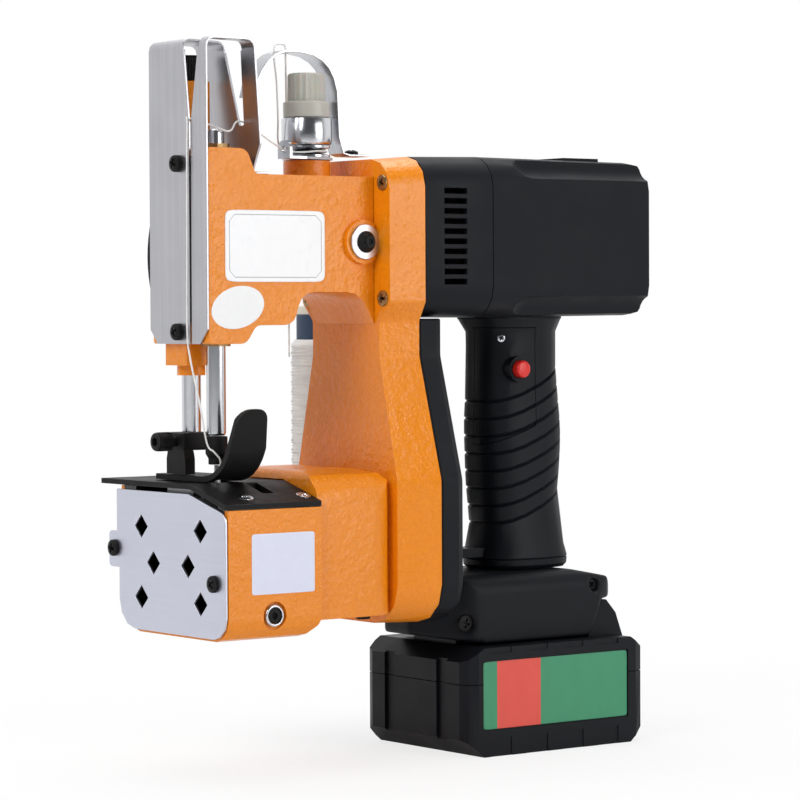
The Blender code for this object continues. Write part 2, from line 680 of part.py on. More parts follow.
def make_side_cover():
    low = HEAD_BOTTOM + 11.5 * MM
    high = ARM_TOP - 9 * MM
    face = ARM_HALF + GAP
    bulge, rim = 7.4 * MM, 1.2 * MM
    count = 12
    points = [(face, low), (face, high)]
    for step in range(count + 1):
        share = 1 - step / count
        points.append((face + rim + bulge * 4 * share * (1 - share), low + (high - low) * share))
    part("head_side_cover", slab(
        points, "x", HEAD_FRONT + 2.5 * MM, HEAD_FRONT + HEAD_LENGTH + 20 * MM), BLACK)


def make_looper_housing():
    slope_low = BOX_TOP - PLATE_SLOPE_DROP
    body = part("looper_housing", slab(outline(
        (BOX_NEAR_Y, BOX_BOTTOM, 9 * MM), (BOX_FAR_Y, BOX_BOTTOM, 14 * MM), (BOX_FAR_Y, BOX_TOP, 0),
        (PLATE_BEND_Y, BOX_TOP, 0), (BOX_NEAR_Y, slope_low, 0)), "x", BOX_FRONT, BOX_REAR), ORANGE)
    keep(body, slab(outline(
        (BOX_FRONT - 1 * MM, BOX_BOTTOM - 1 * MM, 0), (BOX_REAR - 7 * MM, BOX_BOTTOM - 1 * MM, 0),
        (BOX_REAR, BOX_BOTTOM + 6 * MM, 5 * MM), (BOX_REAR, BOX_TOP + 1 * MM, 0),
        (BOX_FRONT - 1 * MM, BOX_TOP + 1 * MM, 0)), "y", BOX_NEAR_Y - 1 * MM, BOX_FAR_Y + 1 * MM))
    wall = BOX_WALL
    cut(body, slab(outline(
        (BOX_NEAR_Y + wall, BOX_BOTTOM + wall, 6 * MM), (BOX_FAR_Y - wall, BOX_BOTTOM + wall, 11 * MM),
        (BOX_FAR_Y - wall, BOX_TOP - wall, 0), (PLATE_BEND_Y, BOX_TOP - wall, 0),
        (BOX_NEAR_Y + wall, slope_low - 1.5 * MM, 0)), "x", BOX_FRONT - 2 * MM, BOX_REAR - wall))
    cut(body, block(
        (BOX_FRONT - 1 * MM, -32 * MM, BOX_TOP - 12 * MM), (BOX_REAR - 9 * MM, 30 * MM, BOX_TOP + 2 * MM)))
    cut(body, rod(
        (BOX_REAR - 6 * MM, 0, SHAFT_Z), (BOX_REAR + 2 * MM, 0, SHAFT_Z), SHAFT_RADIUS + 1.5 * MM))
    cut(body, rod(
        (BOX_REAR - 23.5 * MM, BOX_NEAR_Y - 1 * MM, BOX_BOTTOM + 10 * MM),
        (BOX_REAR - 23.5 * MM, BOX_NEAR_Y + 2 * MM, BOX_BOTTOM + 10 * MM), 5.8 * MM))
    post = looper_axis()
    fuse(body, rod((BOX_REAR - wall - 9 * MM, post.y, post.z), (BOX_REAR - 1 * MM, post.y, post.z), 6 * MM))
    cut(body, rod(
        (BOX_REAR - wall - 12 * MM, post.y, post.z), (BOX_REAR - 1.5 * MM, post.y, post.z), 3.4 * MM))


def make_throat_plate():
    drop = PLATE_SLOPE_DROP
    thick = PLATE_THICKNESS
    front, rear = BOX_FRONT - 1.5 * MM, BOX_REAR
    body = part("throat_plate", slab([
        (PLATE_FAR_Y, PLATE_TOP), (PLATE_BEND_Y, PLATE_TOP), (PLATE_NEAR_Y, PLATE_TOP - drop),
        (PLATE_NEAR_Y, PLATE_TOP - drop - thick), (PLATE_BEND_Y, PLATE_UNDER), (PLATE_FAR_Y, PLATE_UNDER)],
        "x", front, rear), BLACKED)
    low, high = PLATE_TOP - drop - 5 * MM, PLATE_TOP + 2 * MM
    cut(body, slab(outline(
        (BAR_X - 3.4 * MM, NEEDLE_Y - 3.4 * MM, 3.3 * MM), (BAR_X + 3.4 * MM, NEEDLE_Y - 3.4 * MM, 3.3 * MM),
        (BAR_X + 3.4 * MM, NEEDLE_Y + 3.4 * MM, 3.3 * MM), (BAR_X - 3.4 * MM, NEEDLE_Y + 3.4 * MM, 3.3 * MM)),
        "z", low, high))
    for x in feed_rows():
        cut(body, block(
            (x - 2.3 * MM, feed_low_y() - 6 * MM, low), (x + 2.3 * MM, feed_high_y() + 6 * MM, high)))
    slot_x = BOX_REAR - 18.5 * MM
    cut(body, block(
        (slot_x - 2.8 * MM, PLATE_NEAR_Y + 11.5 * MM, low), (slot_x + 2.8 * MM, PLATE_BEND_Y - 1 * MM, high)))


def make_looper_cover():
    sheet = LOOPER_SHEET
    face = BOX_FRONT - GAP - sheet
    top, base = BOX_TOP - 1.6 * MM, BOX_BOTTOM + 1 * MM
    near, far = BOX_NEAR_Y + 0.3 * MM, BOX_FAR_Y
    ear = BOX_BOTTOM + 34 * MM
    body = part("looper_cover_plate", slab(outline(
        (far + 1.8 * MM, top, 0), (PLATE_BEND_Y + 1.5 * MM, top, 0), (near, top - PLATE_SLOPE_DROP, 4 * MM),
        (near, base, 9 * MM), (far, base, 14 * MM), (far, ear - 7.7 * MM, 0),
        (far + 8 * MM, ear - 7.7 * MM, 2 * MM), (far + 8 * MM, ear + 7.7 * MM, 2 * MM),
        (far + 1.8 * MM, ear + 7.7 * MM, 0)), "x", face, face + sheet), CHROME)
    centre = (near + far) / 2 + 0.5 * MM
    for row, half_span in enumerate((22.4 * MM, 13.1 * MM, 22.4 * MM)):
        z = BOX_BOTTOM + 44.6 * MM - row * 14.9 * MM
        for side in (-1, 1):
            y = centre + side * half_span
            d = DIAMOND_HALF
            diamond = [(y + d, z), (y, z + d), (y - d, z), (y, z - d)]
            cut(body, slab(diamond, "x", face - 1 * MM, face + sheet + 1 * MM))


# Drive train

def pulley_radius(teeth):
    return teeth * BELT_PITCH / (2 * math.pi) - 0.4 * MM


def make_pulley(name, teeth, z, bore, pivot):
    """A toothed belt wheel: square teeth of half the pitch between two flanges."""
    tip = pulley_radius(teeth)
    root = tip - 0.9 * MM
    points = []
    for tooth in range(teeth):
        for radius, share in ((root, 0.0), (tip, 0.5)):
            turn = 2 * math.pi * (tooth + share) / teeth
            points.append((radius * math.cos(turn), z + radius * math.sin(turn)))
    half = BELT_WIDTH / 2 + 0.4 * MM
    body = part(name, slab(points, "x", PULLEY_X - half, PULLEY_X + half), STEEL, pivot)
    for side in (-1, 1):
        low, high = sorted((PULLEY_X + side * (half - 0.1 * MM), PULLEY_X + side * (half + 0.7 * MM)))
        fuse(body, rod((low, 0, z), (high, 0, z), tip + 1.2 * MM, sides=SIDES))
    cut(body, rod((PULLEY_X - 8 * MM, 0, z), (PULLEY_X + 8 * MM, 0, z), bore + GAP))


def belt_loop(extra):
    """Outline of the belt round both wheels, kept clear of the teeth by a gap."""
    small = pulley_radius(MOTOR_TEETH) + GAP + extra
    large = pulley_radius(SHAFT_TEETH) + GAP + extra
    lean = math.asin((large - small) / (MOTOR_Z - SHAFT_Z))
    points = []
    steps = 12
    for step in range(steps + 1):
        turn = lean + (math.pi - 2 * lean) * step / steps
        points.append((small * math.cos(turn), MOTOR_Z + small * math.sin(turn)))
    steps = 24
    for step in range(steps + 1):
        turn = math.pi - lean + (math.pi + 2 * lean) * step / steps
        points.append((large * math.cos(turn), SHAFT_Z + large * math.sin(turn)))
    return points


def make_belt():
    half = BELT_WIDTH / 2
    body = part("drive_belt", slab(belt_loop(BELT_THICKNESS), "x", PULLEY_X - half, PULLEY_X + half), RUBBER)
    cut(body, slab(belt_loop(0), "x", PULLEY_X - half - 1 * MM, PULLEY_X + half + 1 * MM))


def make_motor(pivot):
    stator_low = MOTOR_SEAM_X + STATOR_SETBACK
    stator_high = stator_low + STATOR_LENGTH
    part("motor_stator", ring(
        STATOR_RADIUS - STATOR_WALL, STATOR_RADIUS, stator_low, stator_high, (0, 0, MOTOR_Z), "x"), STEEL)
    core = STATOR_RADIUS - STATOR_WALL - ARMATURE_GAP
    points = []
    for slot in range(ARMATURE_SLOTS):
        for radius, share in ((core, 0.0), (core, 0.7), (core - 4 * MM, 0.72), (core - 4 * MM, 0.98)):
            turn = 2 * math.pi * (slot + share) / ARMATURE_SLOTS
            points.append((radius * math.cos(turn), MOTOR_Z + radius * math.sin(turn)))
    rear = MOTOR_REAR_X - 9 * MM
    body = part("motor_armature", slab(points, "x", stator_low + 8 * MM, stator_high - 12 * MM), COPPER, pivot)
    fuse(body, rod((PULLEY_X - 5 * MM, 0, MOTOR_Z), (rear, 0, MOTOR_Z), MOTOR_SHAFT_RADIUS))
    fuse(body, rod((stator_high - 9 * MM, 0, MOTOR_Z), (stator_high - 1 * MM, 0, MOTOR_Z), 11 * MM))
    make_pulley("motor_pulley", MOTOR_TEETH, MOTOR_Z, MOTOR_SHAFT_RADIUS, pivot)
    boss = 9 * MM
    plate = fan_x() - 9 * MM
    body = part("motor_end_plate", rod(
        (plate, 0, MOTOR_Z), (plate + 4 * MM, 0, MOTOR_Z), MOTOR_HEIGHT / 2 - PLASTIC_WALL - 1.5 * MM), STEEL)
    fuse(body, rod((plate + 2 * MM, 0, MOTOR_Z), (plate + 5 * MM, 0, MOTOR_Z), boss))
    cut(body, rod((plate - 1 * MM, 0, MOTOR_Z), (plate + 7 * MM, 0, MOTOR_Z), MOTOR_SHAFT_RADIUS + GAP))
    for spoke in range(4):
        turn = 2 * math.pi * (spoke + 0.5) / 4
        y, z = 20 * MM * math.cos(turn), MOTOR_Z + 20 * MM * math.sin(turn)
        cut(body, rod((plate - 1 * MM, y, z), (plate + 7 * MM, y, z), 6 * MM, sides=8))
    make_fan(pivot)


def fan_x():
    return MOTOR_SEAM_X - 4 * MM


def make_fan(pivot):
    """A radial fan: a hub and back disc with straight blades standing on it."""
    x = fan_x()
    reach = STATOR_RADIUS - 4 * MM
    body = part("cooling_fan", rod((x + 1 * MM, 0, MOTOR_Z), (x + 2.4 * MM, 0, MOTOR_Z), reach), BLACK, pivot)
    fuse(body, rod((x - 3 * MM, 0, MOTOR_Z), (x + 1.5 * MM, 0, MOTOR_Z), 8 * MM))
    for blade in range(FAN_BLADES):
        wall = block((x - 2.5 * MM, 7 * MM, -0.6 * MM), (x + 1.5 * MM, reach - 0.5 * MM, 0.6 * MM))
        turn = Matrix.Rotation(2 * math.pi * blade / FAN_BLADES, 4, "X")
        wall.transform(Matrix.Translation((0, 0, MOTOR_Z)) @ turn)
        fuse(body, wall)
    cut(body, rod((x - 5 * MM, 0, MOTOR_Z), (x + 5 * MM, 0, MOTOR_Z), MOTOR_SHAFT_RADIUS + GAP))


def make_drive_shaft(pivot):
    front = BOX_REAR - BOX_WALL - 18 * MM
    shaft = rod((front, 0, SHAFT_Z), (PULLEY_X + 5 * MM, 0, SHAFT_Z), SHAFT_RADIUS)
    body = part("drive_shaft", shaft, STEEL, pivot)
    throw = SHAFT_Z + ECCENTRIC_THROW
    for x, radius in ((ECCENTRIC_X, ECCENTRIC_RADIUS), (front + 6 * MM, FEED_ECCENTRIC_RADIUS)):
        fuse(body, rod((x - 3 * MM, 0, throw), (x + 3 * MM, 0, throw), radius))
    make_pulley("shaft_pulley", SHAFT_TEETH, SHAFT_Z, SHAFT_RADIUS, pivot)
    seats = {"shaft_front_bearing": BOX_REAR + 2 * MM, "shaft_rear_bearing": COLUMN_FRONT - 5 * MM}
    for name, low in seats.items():
        part(name, ring(
            SHAFT_RADIUS + GAP, BEARING_RADIUS, low, low + BEARING_WIDTH, (0, 0, SHAFT_Z), "x",
            sides=HIDDEN_SIDES), STEEL)


def make_connecting_rod(pivot):
    """Strap over the eccentric, opened by its whole throw, and an eye beside the lever's tail."""
    x = ECCENTRIC_X
    throw = SHAFT_Z + ECCENTRIC_THROW
    bore = ECCENTRIC_RADIUS + 2 * ECCENTRIC_THROW + GAP
    side = LEVER_THICKNESS / 2 + GAP
    eye_y = side + ROD_RADIUS + GAP
    body = part("connecting_rod", ring(
        bore, bore + 3.5 * MM, x - 3 * MM, x + 3 * MM, (0, 0, throw), "x"), STEEL, pivot)
    fuse(body, rod(
        (x, 2 * MM, throw + bore + 1.5 * MM), (TAIL_X, eye_y, TAIL_Z - 4 * MM), ROD_RADIUS, sides=12))
    fuse(body, rod((TAIL_X, side, TAIL_Z), (TAIL_X, side + 7 * MM, TAIL_Z), 6.3 * MM))
    cut(body, rod((TAIL_X, side - 2 * MM, TAIL_Z), (TAIL_X, side + 8 * MM, TAIL_Z), LEVER_PIN_RADIUS + SLIDE))


def make_needle_lever(pivot):
    """A rocker with a forked nose over the crosshead pin and a cross pin in its tail."""
    half = LEVER_THICKNESS / 2
    nose, tail = -LEVER_LENGTH - 5.5 * MM, LEVER_TAIL
    slot = LEVER_PIN_RADIUS + SLIDE
    shape = slab(outline(
        (nose, -5.6 * MM, 1 * MM), (-LEVER_LENGTH + 9 * MM, -5.6 * MM, 8 * MM), (-8 * MM, -8 * MM, 6 * MM),
        (4 * MM, -8 * MM, 6 * MM), (tail + 4.6 * MM, -4.6 * MM, 4.4 * MM), (tail + 4.6 * MM, 4.6 * MM, 4.4 * MM),
        (4 * MM, 8 * MM, 6 * MM), (-8 * MM, 8 * MM, 6 * MM), (-LEVER_LENGTH + 9 * MM, 5.6 * MM, 8 * MM),
        (nose, 5.6 * MM, 1 * MM), (nose, slot, 0), (-LEVER_LENGTH + 6 * MM, slot, slot * 0.9),
        (-LEVER_LENGTH + 6 * MM, -slot, slot * 0.9), (nose, -slot, 0)), "y", -half, half)
    lever = sketch(shape)
    cut(lever, rod((0, -9 * MM, 0), (0, 9 * MM, 0), BAR_RADIUS + SLIDE))
    fuse(lever, rod((tail, -half + 0.5 * MM, 0), (tail, half + GAP + 8 * MM, 0), LEVER_PIN_RADIUS))
    mesh = evaluated(lever)
    mesh.transform(Matrix.Translation((PIVOT_X, 0, PIVOT_Z)) @ Matrix.Rotation(-LEVER_DIP, 4, "Y"))
    part("needle_lever", mesh, STEEL, pivot)
    boss = ARM_HALF + 2 * MM
    head = -boss - 2 * GAP - 1 * MM
    body = part("pivot_stud", rod(
        (PIVOT_X, head - 0.5 * MM, PIVOT_Z), (PIVOT_X, ARM_HALF - 2 * MM, PIVOT_Z), BAR_RADIUS), BLACKED)
    fuse(body, rod((PIVOT_X, head - 3 * MM, PIVOT_Z), (PIVOT_X, head, PIVOT_Z), BAR_RADIUS + 0.6 * MM))
    cut(body, rod(
        (PIVOT_X, head - 5 * MM, PIVOT_Z), (PIVOT_X, head - 1 * MM, PIVOT_Z), 1.7 * MM, sides=6))


def make_needle_bar(pivot):
    top = HEAD_TOP + 8 * MM
    part("needle_bar", rod((BAR_X, NEEDLE_Y, BAR_BOTTOM), (BAR_X, NEEDLE_Y, top), BAR_RADIUS), CHROME, pivot)
    z = CROSSHEAD_Z
    half = LEVER_THICKNESS / 2
    inner = -half - 1 * MM
    body = part("needle_crosshead", block(
        (BAR_X - 6.5 * MM, NEEDLE_Y - 5.8 * MM, z - 5 * MM), (BAR_X + 6.5 * MM, inner, z + 5 * MM)),
        STEEL, pivot)
    round_edges(body, 1 * MM, 1)
    fuse(body, rod((BAR_X, inner - 0.8 * MM, z), (BAR_X, half + 0.3 * MM, z), LEVER_PIN_RADIUS))
    cut(body, rod((BAR_X, NEEDLE_Y, z - 7 * MM), (BAR_X, NEEDLE_Y, z + 7 * MM), BAR_RADIUS + GAP))
    low = CHUCK_BOTTOM
    part("needle_chuck", turned([
        (0, BAR_BOTTOM - GAP), (CHUCK_RADIUS, BAR_BOTTOM - GAP), (CHUCK_RADIUS, low + 4.5 * MM),
        (3.4 * MM, low + 2.5 * MM), (3.4 * MM, low), (0, low)], (BAR_X, NEEDLE_Y, 0)), BLACKED, pivot)
    tip = low - NEEDLE_LENGTH
    part("needle", turned([
        (0, low - GAP), (NEEDLE_RADIUS, low - GAP), (NEEDLE_RADIUS, tip + 5 * MM), (0, tip)],
        (BAR_X, NEEDLE_Y, 0), sides=12), CHROME, pivot)
    clear = BAR_RADIUS + SLIDE
    outer = BAR_RADIUS + 2.5 * MM - GAP
    spans = {"needle_bar_lower_bush": (HEAD_BOTTOM - 1 * MM, HEAD_BOTTOM + 10 * MM),
             "needle_bar_upper_bush": (HEAD_TOP - ARM_WALL - 1 * MM, HEAD_TOP + 2 * MM)}
    for name, (start, end) in spans.items():
        part(name, ring(clear, outer, start, end, (BAR_X, NEEDLE_Y, 0)), BRONZE)


def presser_spring_low():
    return HEAD_BOTTOM + 27 * MM


def make_presser(pivot, screw_pivot):
    x, y = BAR_X, PRESSER_Y
    collar = presser_spring_low() - GAP - SPRING_WIRE
    top = HEAD_TOP + 11 * MM
    low = PLATE_TOP + 14.5 * MM
    part("presser_bar", turned([
        (0, top), (BAR_RADIUS, top), (BAR_RADIUS, collar), (SPRING_RADIUS + 0.4 * MM, collar),
        (SPRING_RADIUS + 0.4 * MM, collar - 5 * MM), (BAR_RADIUS, collar - 5 * MM), (BAR_RADIUS, low),
        (0, low)], (x, y, 0)), CHROME, pivot)
    seat = HEAD_TOP + 21 * MM
    start, end = presser_spring_low(), seat - GAP - SPRING_WIRE
    points = coil((x, y), SPRING_RADIUS, start, end, SPRING_TURNS, 8, SPRING_WIRE)
    print("presser spring's least gap, m:", round(least_gap(points, 8, SPRING_WIRE), 5))
    part("presser_spring", tube(points, SPRING_WIRE, 1), STEEL)
    rim = HEAD_TOP + 28.5 * MM + GAP
    part("presser_adjusting_screw", turned([
        (0, rim + 10.5 * MM), (6.6 * MM, rim + 10.5 * MM), (7.4 * MM, rim + 9.6 * MM), (7.4 * MM, rim),
        (SPRING_RADIUS + 0.6 * MM, rim), (SPRING_RADIUS + 0.6 * MM, seat), (0, seat)], (x, y, 0)),
        BLACKED, screw_pivot)
    make_presser_foot(pivot)


def make_presser_foot(pivot):
    x, y = BAR_X, PRESSER_Y
    low, high = PLATE_TOP + 13 * MM, PLATE_TOP + 20.5 * MM
    sole_top = PLATE_TOP + 0.4 * MM + SOLE_THICKNESS
    front = x - 8 * MM
    body = part("presser_foot_shank", block(
        (front, y - 5.8 * MM, low), (x + 5.8 * MM, y + 6.4 * MM, high)), BLACKED, pivot)
    round_edges(body, 1.2 * MM, 2)
    fuse(body, slab(outline(
        (y - 7 * MM, sole_top + GAP, 0), (y + 7 * MM, sole_top + GAP, 0), (y + 7 * MM, low + 2.5 * MM, 6.5 * MM),
        (y - 7 * MM, low + 2.5 * MM, 6.5 * MM)), "x", front, front + 5 * MM))
    cut(body, rod((x, y, low + 1.2 * MM), (x, y, high + 2 * MM), BAR_RADIUS + GAP))
    screw_z = (low + high) / 2
    cut(body, rod((front - 2 * MM, y, screw_z), (x - 3 * MM, y, screw_z), 2.3 * MM, sides=12))
    body = part("foot_clamp_screw", rod(
        (front - 10.5 * MM, y, screw_z), (front - 3 * MM, y, screw_z), 4 * MM), BLACKED, pivot)
    fuse(body, rod((front - 4 * MM, y, screw_z), (x - BAR_RADIUS - GAP, y, screw_z), 2 * MM, sides=12))
    cut(body, rod((front - 12 * MM, y, screw_z), (front - 7 * MM, y, screw_z), 1.9 * MM, sides=6))
    make_presser_sole(pivot)


def toe_curve(offset):
    """The sole's ski outline: level under the bar, then a quarter bend and a straight toe."""
    level = PLATE_TOP + 0.4 * MM + offset
    lean = math.radians(64)
    bend = 22 * MM - offset
    centre_y, centre_z = -9 * MM, level + bend
    points = [(PRESSER_Y + 17 * MM, level)]
    steps = 8
    for step in range(steps + 1):
        turn = lean * step / steps
        points.append((centre_y - bend * math.sin(turn), centre_z - bend * math.cos(turn)))
    top = PLATE_TOP + TOE_RISE + 4 * MM
    rise = top - points[-1][1]
    points.append((points[-1][0] - rise / math.tan(lean), top))
    return points


def make_presser_sole(pivot):
    points = toe_curve(0) + list(reversed(toe_curve(SOLE_THICKNESS)))
    centre = BAR_X + 2 * MM
    low, high = centre - SOLE_WIDTH / 2, centre + SOLE_WIDTH / 2
    body = part("presser_sole", slab(points, "x", low, high), BLACKED, pivot)
    keep(body, slab(outline(
        (low - 1 * MM, PLATE_TOP - 5 * MM, 0), (high + 1 * MM, PLATE_TOP - 5 * MM, 0),
        (high + 1 * MM, PLATE_TOP + TOE_RISE - 20 * MM, 14 * MM), (high - 4.5 * MM, PLATE_TOP + TOE_RISE, 6 * MM),
        (low - 0.5 * MM, PLATE_TOP + TOE_RISE, 7 * MM), steps=5),
        "y", -80 * MM, 80 * MM))
    cut(body, slab(outline(
        (BAR_X - 4.6 * MM, NEEDLE_Y - 6.7 * MM, 3.5 * MM), (BAR_X + 4.6 * MM, NEEDLE_Y - 6.7 * MM, 3.5 * MM),
        (BAR_X + 4.6 * MM, NEEDLE_Y + 5 * MM, 3.5 * MM), (BAR_X - 4.6 * MM, NEEDLE_Y + 5 * MM, 3.5 * MM)),
        "z", PLATE_TOP - 2 * MM, PLATE_TOP + 9 * MM))


# Feed and looper

def feed_rows():
    return (BAR_X - 6.2 * MM, BAR_X + 6.2 * MM)


def feed_low_y():
    return -4 * MM


def feed_high_y():
    return 16 * MM


def make_feed(pivot):
    """Two toothed rows on one bar, carried by a fork over the feed eccentric."""
    top = PLATE_TOP - 0.6 * MM
    base = PLATE_UNDER - 4.5 * MM
    low_x, high_x = feed_rows()[0] - 1.8 * MM, feed_rows()[1] + 1.8 * MM
    y0, y1 = feed_low_y(), feed_high_y()
    teeth = 5
    pitch = (y1 - y0) / teeth
    comb = [(y0, base), (y1, base)]
    for tooth in range(teeth):
        right = y1 - tooth * pitch
        comb += [(right, top - 1.4 * MM), (right - 0.75 * pitch, top), (right - 0.98 * pitch, top - 1.4 * MM)]
    body = part("feed_dog", slab(comb, "x", low_x, low_x + 3.6 * MM), STEEL, pivot)
    fuse(body, slab(comb, "x", high_x - 3.6 * MM, high_x))
    fuse(body, block((low_x, y0 + 6 * MM, base - 4 * MM), (high_x, y1, base + 1 * MM)))
    x = BOX_REAR - BOX_WALL - 12 * MM
    fork = FEED_ECCENTRIC_RADIUS + ECCENTRIC_THROW + FEED_TRAVEL + 2 * GAP
    body = part("feed_bar", block(
        (low_x, y0 + 6 * MM, base - 9 * MM), (x + 3 * MM, y1, base - 4 * MM - GAP)), STEEL, pivot)
    fuse(body, block(
        (x - 3 * MM, -fork - 3 * MM, base - 9 * MM), (x + 3 * MM, fork + 3 * MM, base - 4 * MM - GAP)))
    for side in (-1, 1):
        inner, outer = sorted((side * fork, side * (fork + 3 * MM)))
        fuse(body, block((x - 3 * MM, inner, SHAFT_Z - 8 * MM), (x + 3 * MM, outer, base - 5 * MM)))


def looper_axis():
    return Vector((BAR_X, NEEDLE_Y - 14 * MM, BOX_BOTTOM + 16 * MM))


def make_looper(pivot):
    """A hook on a rocking shaft: its blade sweeps past the needle under the plate."""
    axis = looper_axis()
    x0 = BAR_X - NEEDLE_RADIUS - 3.2 * MM
    rear = BOX_REAR - 2 * MM
    blade_z = CHUCK_BOTTOM - NEEDLE_LENGTH + 7 * MM - axis.z
    reach = NEEDLE_Y - axis.y
    body = part("looper", slab([(axis.y + u, axis.z + v) for u, v in outline(
        (-6 * MM, -6 * MM, 4 * MM), (6 * MM, -6 * MM, 4 * MM), (5 * MM, 6 * MM, 1 * MM),
        (3 * MM, blade_z - 4 * MM, 3 * MM), (reach - 1.5 * MM, blade_z - 1 * MM, 0),
        (reach - 1.5 * MM, blade_z, 0), (-2 * MM, blade_z + 1 * MM, 4 * MM), (-5 * MM, 6 * MM, 1 * MM))],
        "x", x0 - 1.5 * MM, x0 + 1.5 * MM), CHROME, pivot)
    fuse(body, rod((x0 - 2 * MM, axis.y, axis.z), (rear, axis.y, axis.z), 3 * MM))


# Thread path

def thread_level():
    """Height of the gap between the two tension discs."""
    return TENSION_BASE + 4 * MM


def make_tension(pivot):
    x = TENSION_X
    base = TENSION_BASE + GAP
    body = part("tension_eyelet_plate", slab(outline(
        (x + 10 * MM, -9 * MM, 8 * MM), (x + 10 * MM, 9 * MM, 8 * MM), (x - 9 * MM, 9 * MM, 8 * MM),
        (x - 11 * MM, -4.5 * MM, 0), (x - EYELET_REACH, -4.5 * MM, 0), (x - EYELET_REACH, -13.5 * MM, 0),
        (x - 9 * MM, -13.5 * MM, 4 * MM)), "z", base, base + 1 * MM), CHROME)
    ear_y, ear_z = -9 * MM, thread_level()
    fuse(body, slab(outline(
        (ear_y - 4.5 * MM, base, 0), (ear_y + 4.5 * MM, base, 0), (ear_y + 4.5 * MM, ear_z + 4 * MM, 3.5 * MM),
        (ear_y - 4.5 * MM, ear_z + 4 * MM, 3.5 * MM)), "x", x - EYELET_REACH, x - EYELET_REACH + 1.2 * MM))
    cut(body, rod(
        (x - EYELET_REACH - 2 * MM, ear_y, ear_z), (x - EYELET_REACH + 3 * MM, ear_y, ear_z), 1.7 * MM,
        sides=12))
    cut(body, rod((x, 0, base - 2 * MM), (x, 0, base + 3 * MM), 2.8 * MM))
    low = base + 1 * MM + GAP
    bore = 2.8 * MM
    flat, dish, thick = 6 * MM, 10 * MM, 0.8 * MM
    part("tension_lower_disc", turned([
        (dish, low + thick), (dish, low), (flat, low + 1.4 * MM), (bore, low + 1.4 * MM),
        (bore, low + 1.4 * MM + thick), (flat, low + 1.4 * MM + thick)], (x, 0, 0), closed=True), CHROME)
    high = low + 1.4 * MM + thick + GAP
    part("tension_upper_disc", turned([
        (dish, high + 1.4 * MM + thick), (dish, high + 1.4 * MM), (flat, high), (bore, high),
        (bore, high + thick), (flat, high + thick)], (x, 0, 0), closed=True), CHROME)
    cup = high + 2.2 * MM + GAP
    cup_top = cup + 11.4 * MM
    part("tension_cup", turned([
        (CUP_RADIUS, cup_top), (CUP_RADIUS, cup + 1 * MM), (CUP_RADIUS - 1 * MM, cup), (bore, cup),
        (bore, cup + 1.2 * MM), (CUP_RADIUS - 1.2 * MM, cup + 1.2 * MM), (CUP_RADIUS - 1.2 * MM, cup_top)],
        (x, 0, 0), closed=True), CHROME)
    collar = cup_top + GAP
    part("tension_post", rod((x, 0, ARM_TOP - ARM_WALL + 1 * MM), (x, 0, collar + 16 * MM), 2.4 * MM), STEEL)
    body = part("tension_knob", rod(
        (x, 0, collar), (x, 0, collar + 6.8 * MM), CUP_RADIUS - 0.8 * MM), IVORY, pivot)
    flutes = []
    for flute in range(KNOB_FLUTES * 2):
        turn = math.pi * flute / KNOB_FLUTES
        radius = KNOB_RADIUS - (0.6 * MM if flute % 2 else 0)
        flutes.append((x + radius * math.cos(turn), radius * math.sin(turn)))
    fuse(body, slab(flutes, "z", collar + 6 * MM, collar + 18.8 * MM))
    cut(body, rod((x, 0, collar - 1 * MM), (x, 0, collar + 16.5 * MM), 2.4 * MM + GAP))


def make_thread_guide():
    """A sprung steel strip that arches from the column's top over the tension knob."""
    base = COLUMN_TOP + GAP
    leg = TENSION_X + CUP_RADIUS + 2 * MM
    crown_x, crown_z = TENSION_X - 11.5 * MM, GUIDE_CROWN
    edge = COLUMN_FRONT
    path = [(edge + 9 * MM, base), (edge - 1 * MM, base), (edge - 4.5 * MM, base + 1 * MM)]
    path += [(leg + 0.5 * MM, base + 8 * MM), (leg, base + 18 * MM)]
    rise = crown_z - (base + 18 * MM)
    span = leg - crown_x
    steps = 12
    for step in range(1, steps + 1):
        turn = math.pi * 0.93 * step / steps
        across, high = math.cos(turn), math.sin(turn)
        if turn < math.pi / 2:
            across, high = span * across ** GUIDE_SHOULDER, high ** GUIDE_SHOULDER
        else:
            across *= 19 * MM
        path.append((crown_x + across, crown_z - rise * (1 - high)))
    normals = []
    for i in range(len(path)):
        ahead = Vector(path[min(i + 1, len(path) - 1)]) - Vector(path[max(i - 1, 0)])
        normals.append(Vector((ahead.y, -ahead.x)).normalized())
    outer = [tuple(Vector(p) + n * GUIDE_SHEET) for p, n in zip(path, normals)]
    half = GUIDE_WIDTH / 2
    body = part("thread_guide", slab(path + list(reversed(outer)), "y", -half, half), CHROME)
    for x in guide_holes():
        cut(body, rod((x, 0, crown_z - 12 * MM), (x, 0, crown_z + 10 * MM), 1.9 * MM, sides=12))


def guide_holes():
    """The thread rises through the first hole and falls through the second."""
    return (TENSION_X - 10.5 * MM, TENSION_X - 16.5 * MM)


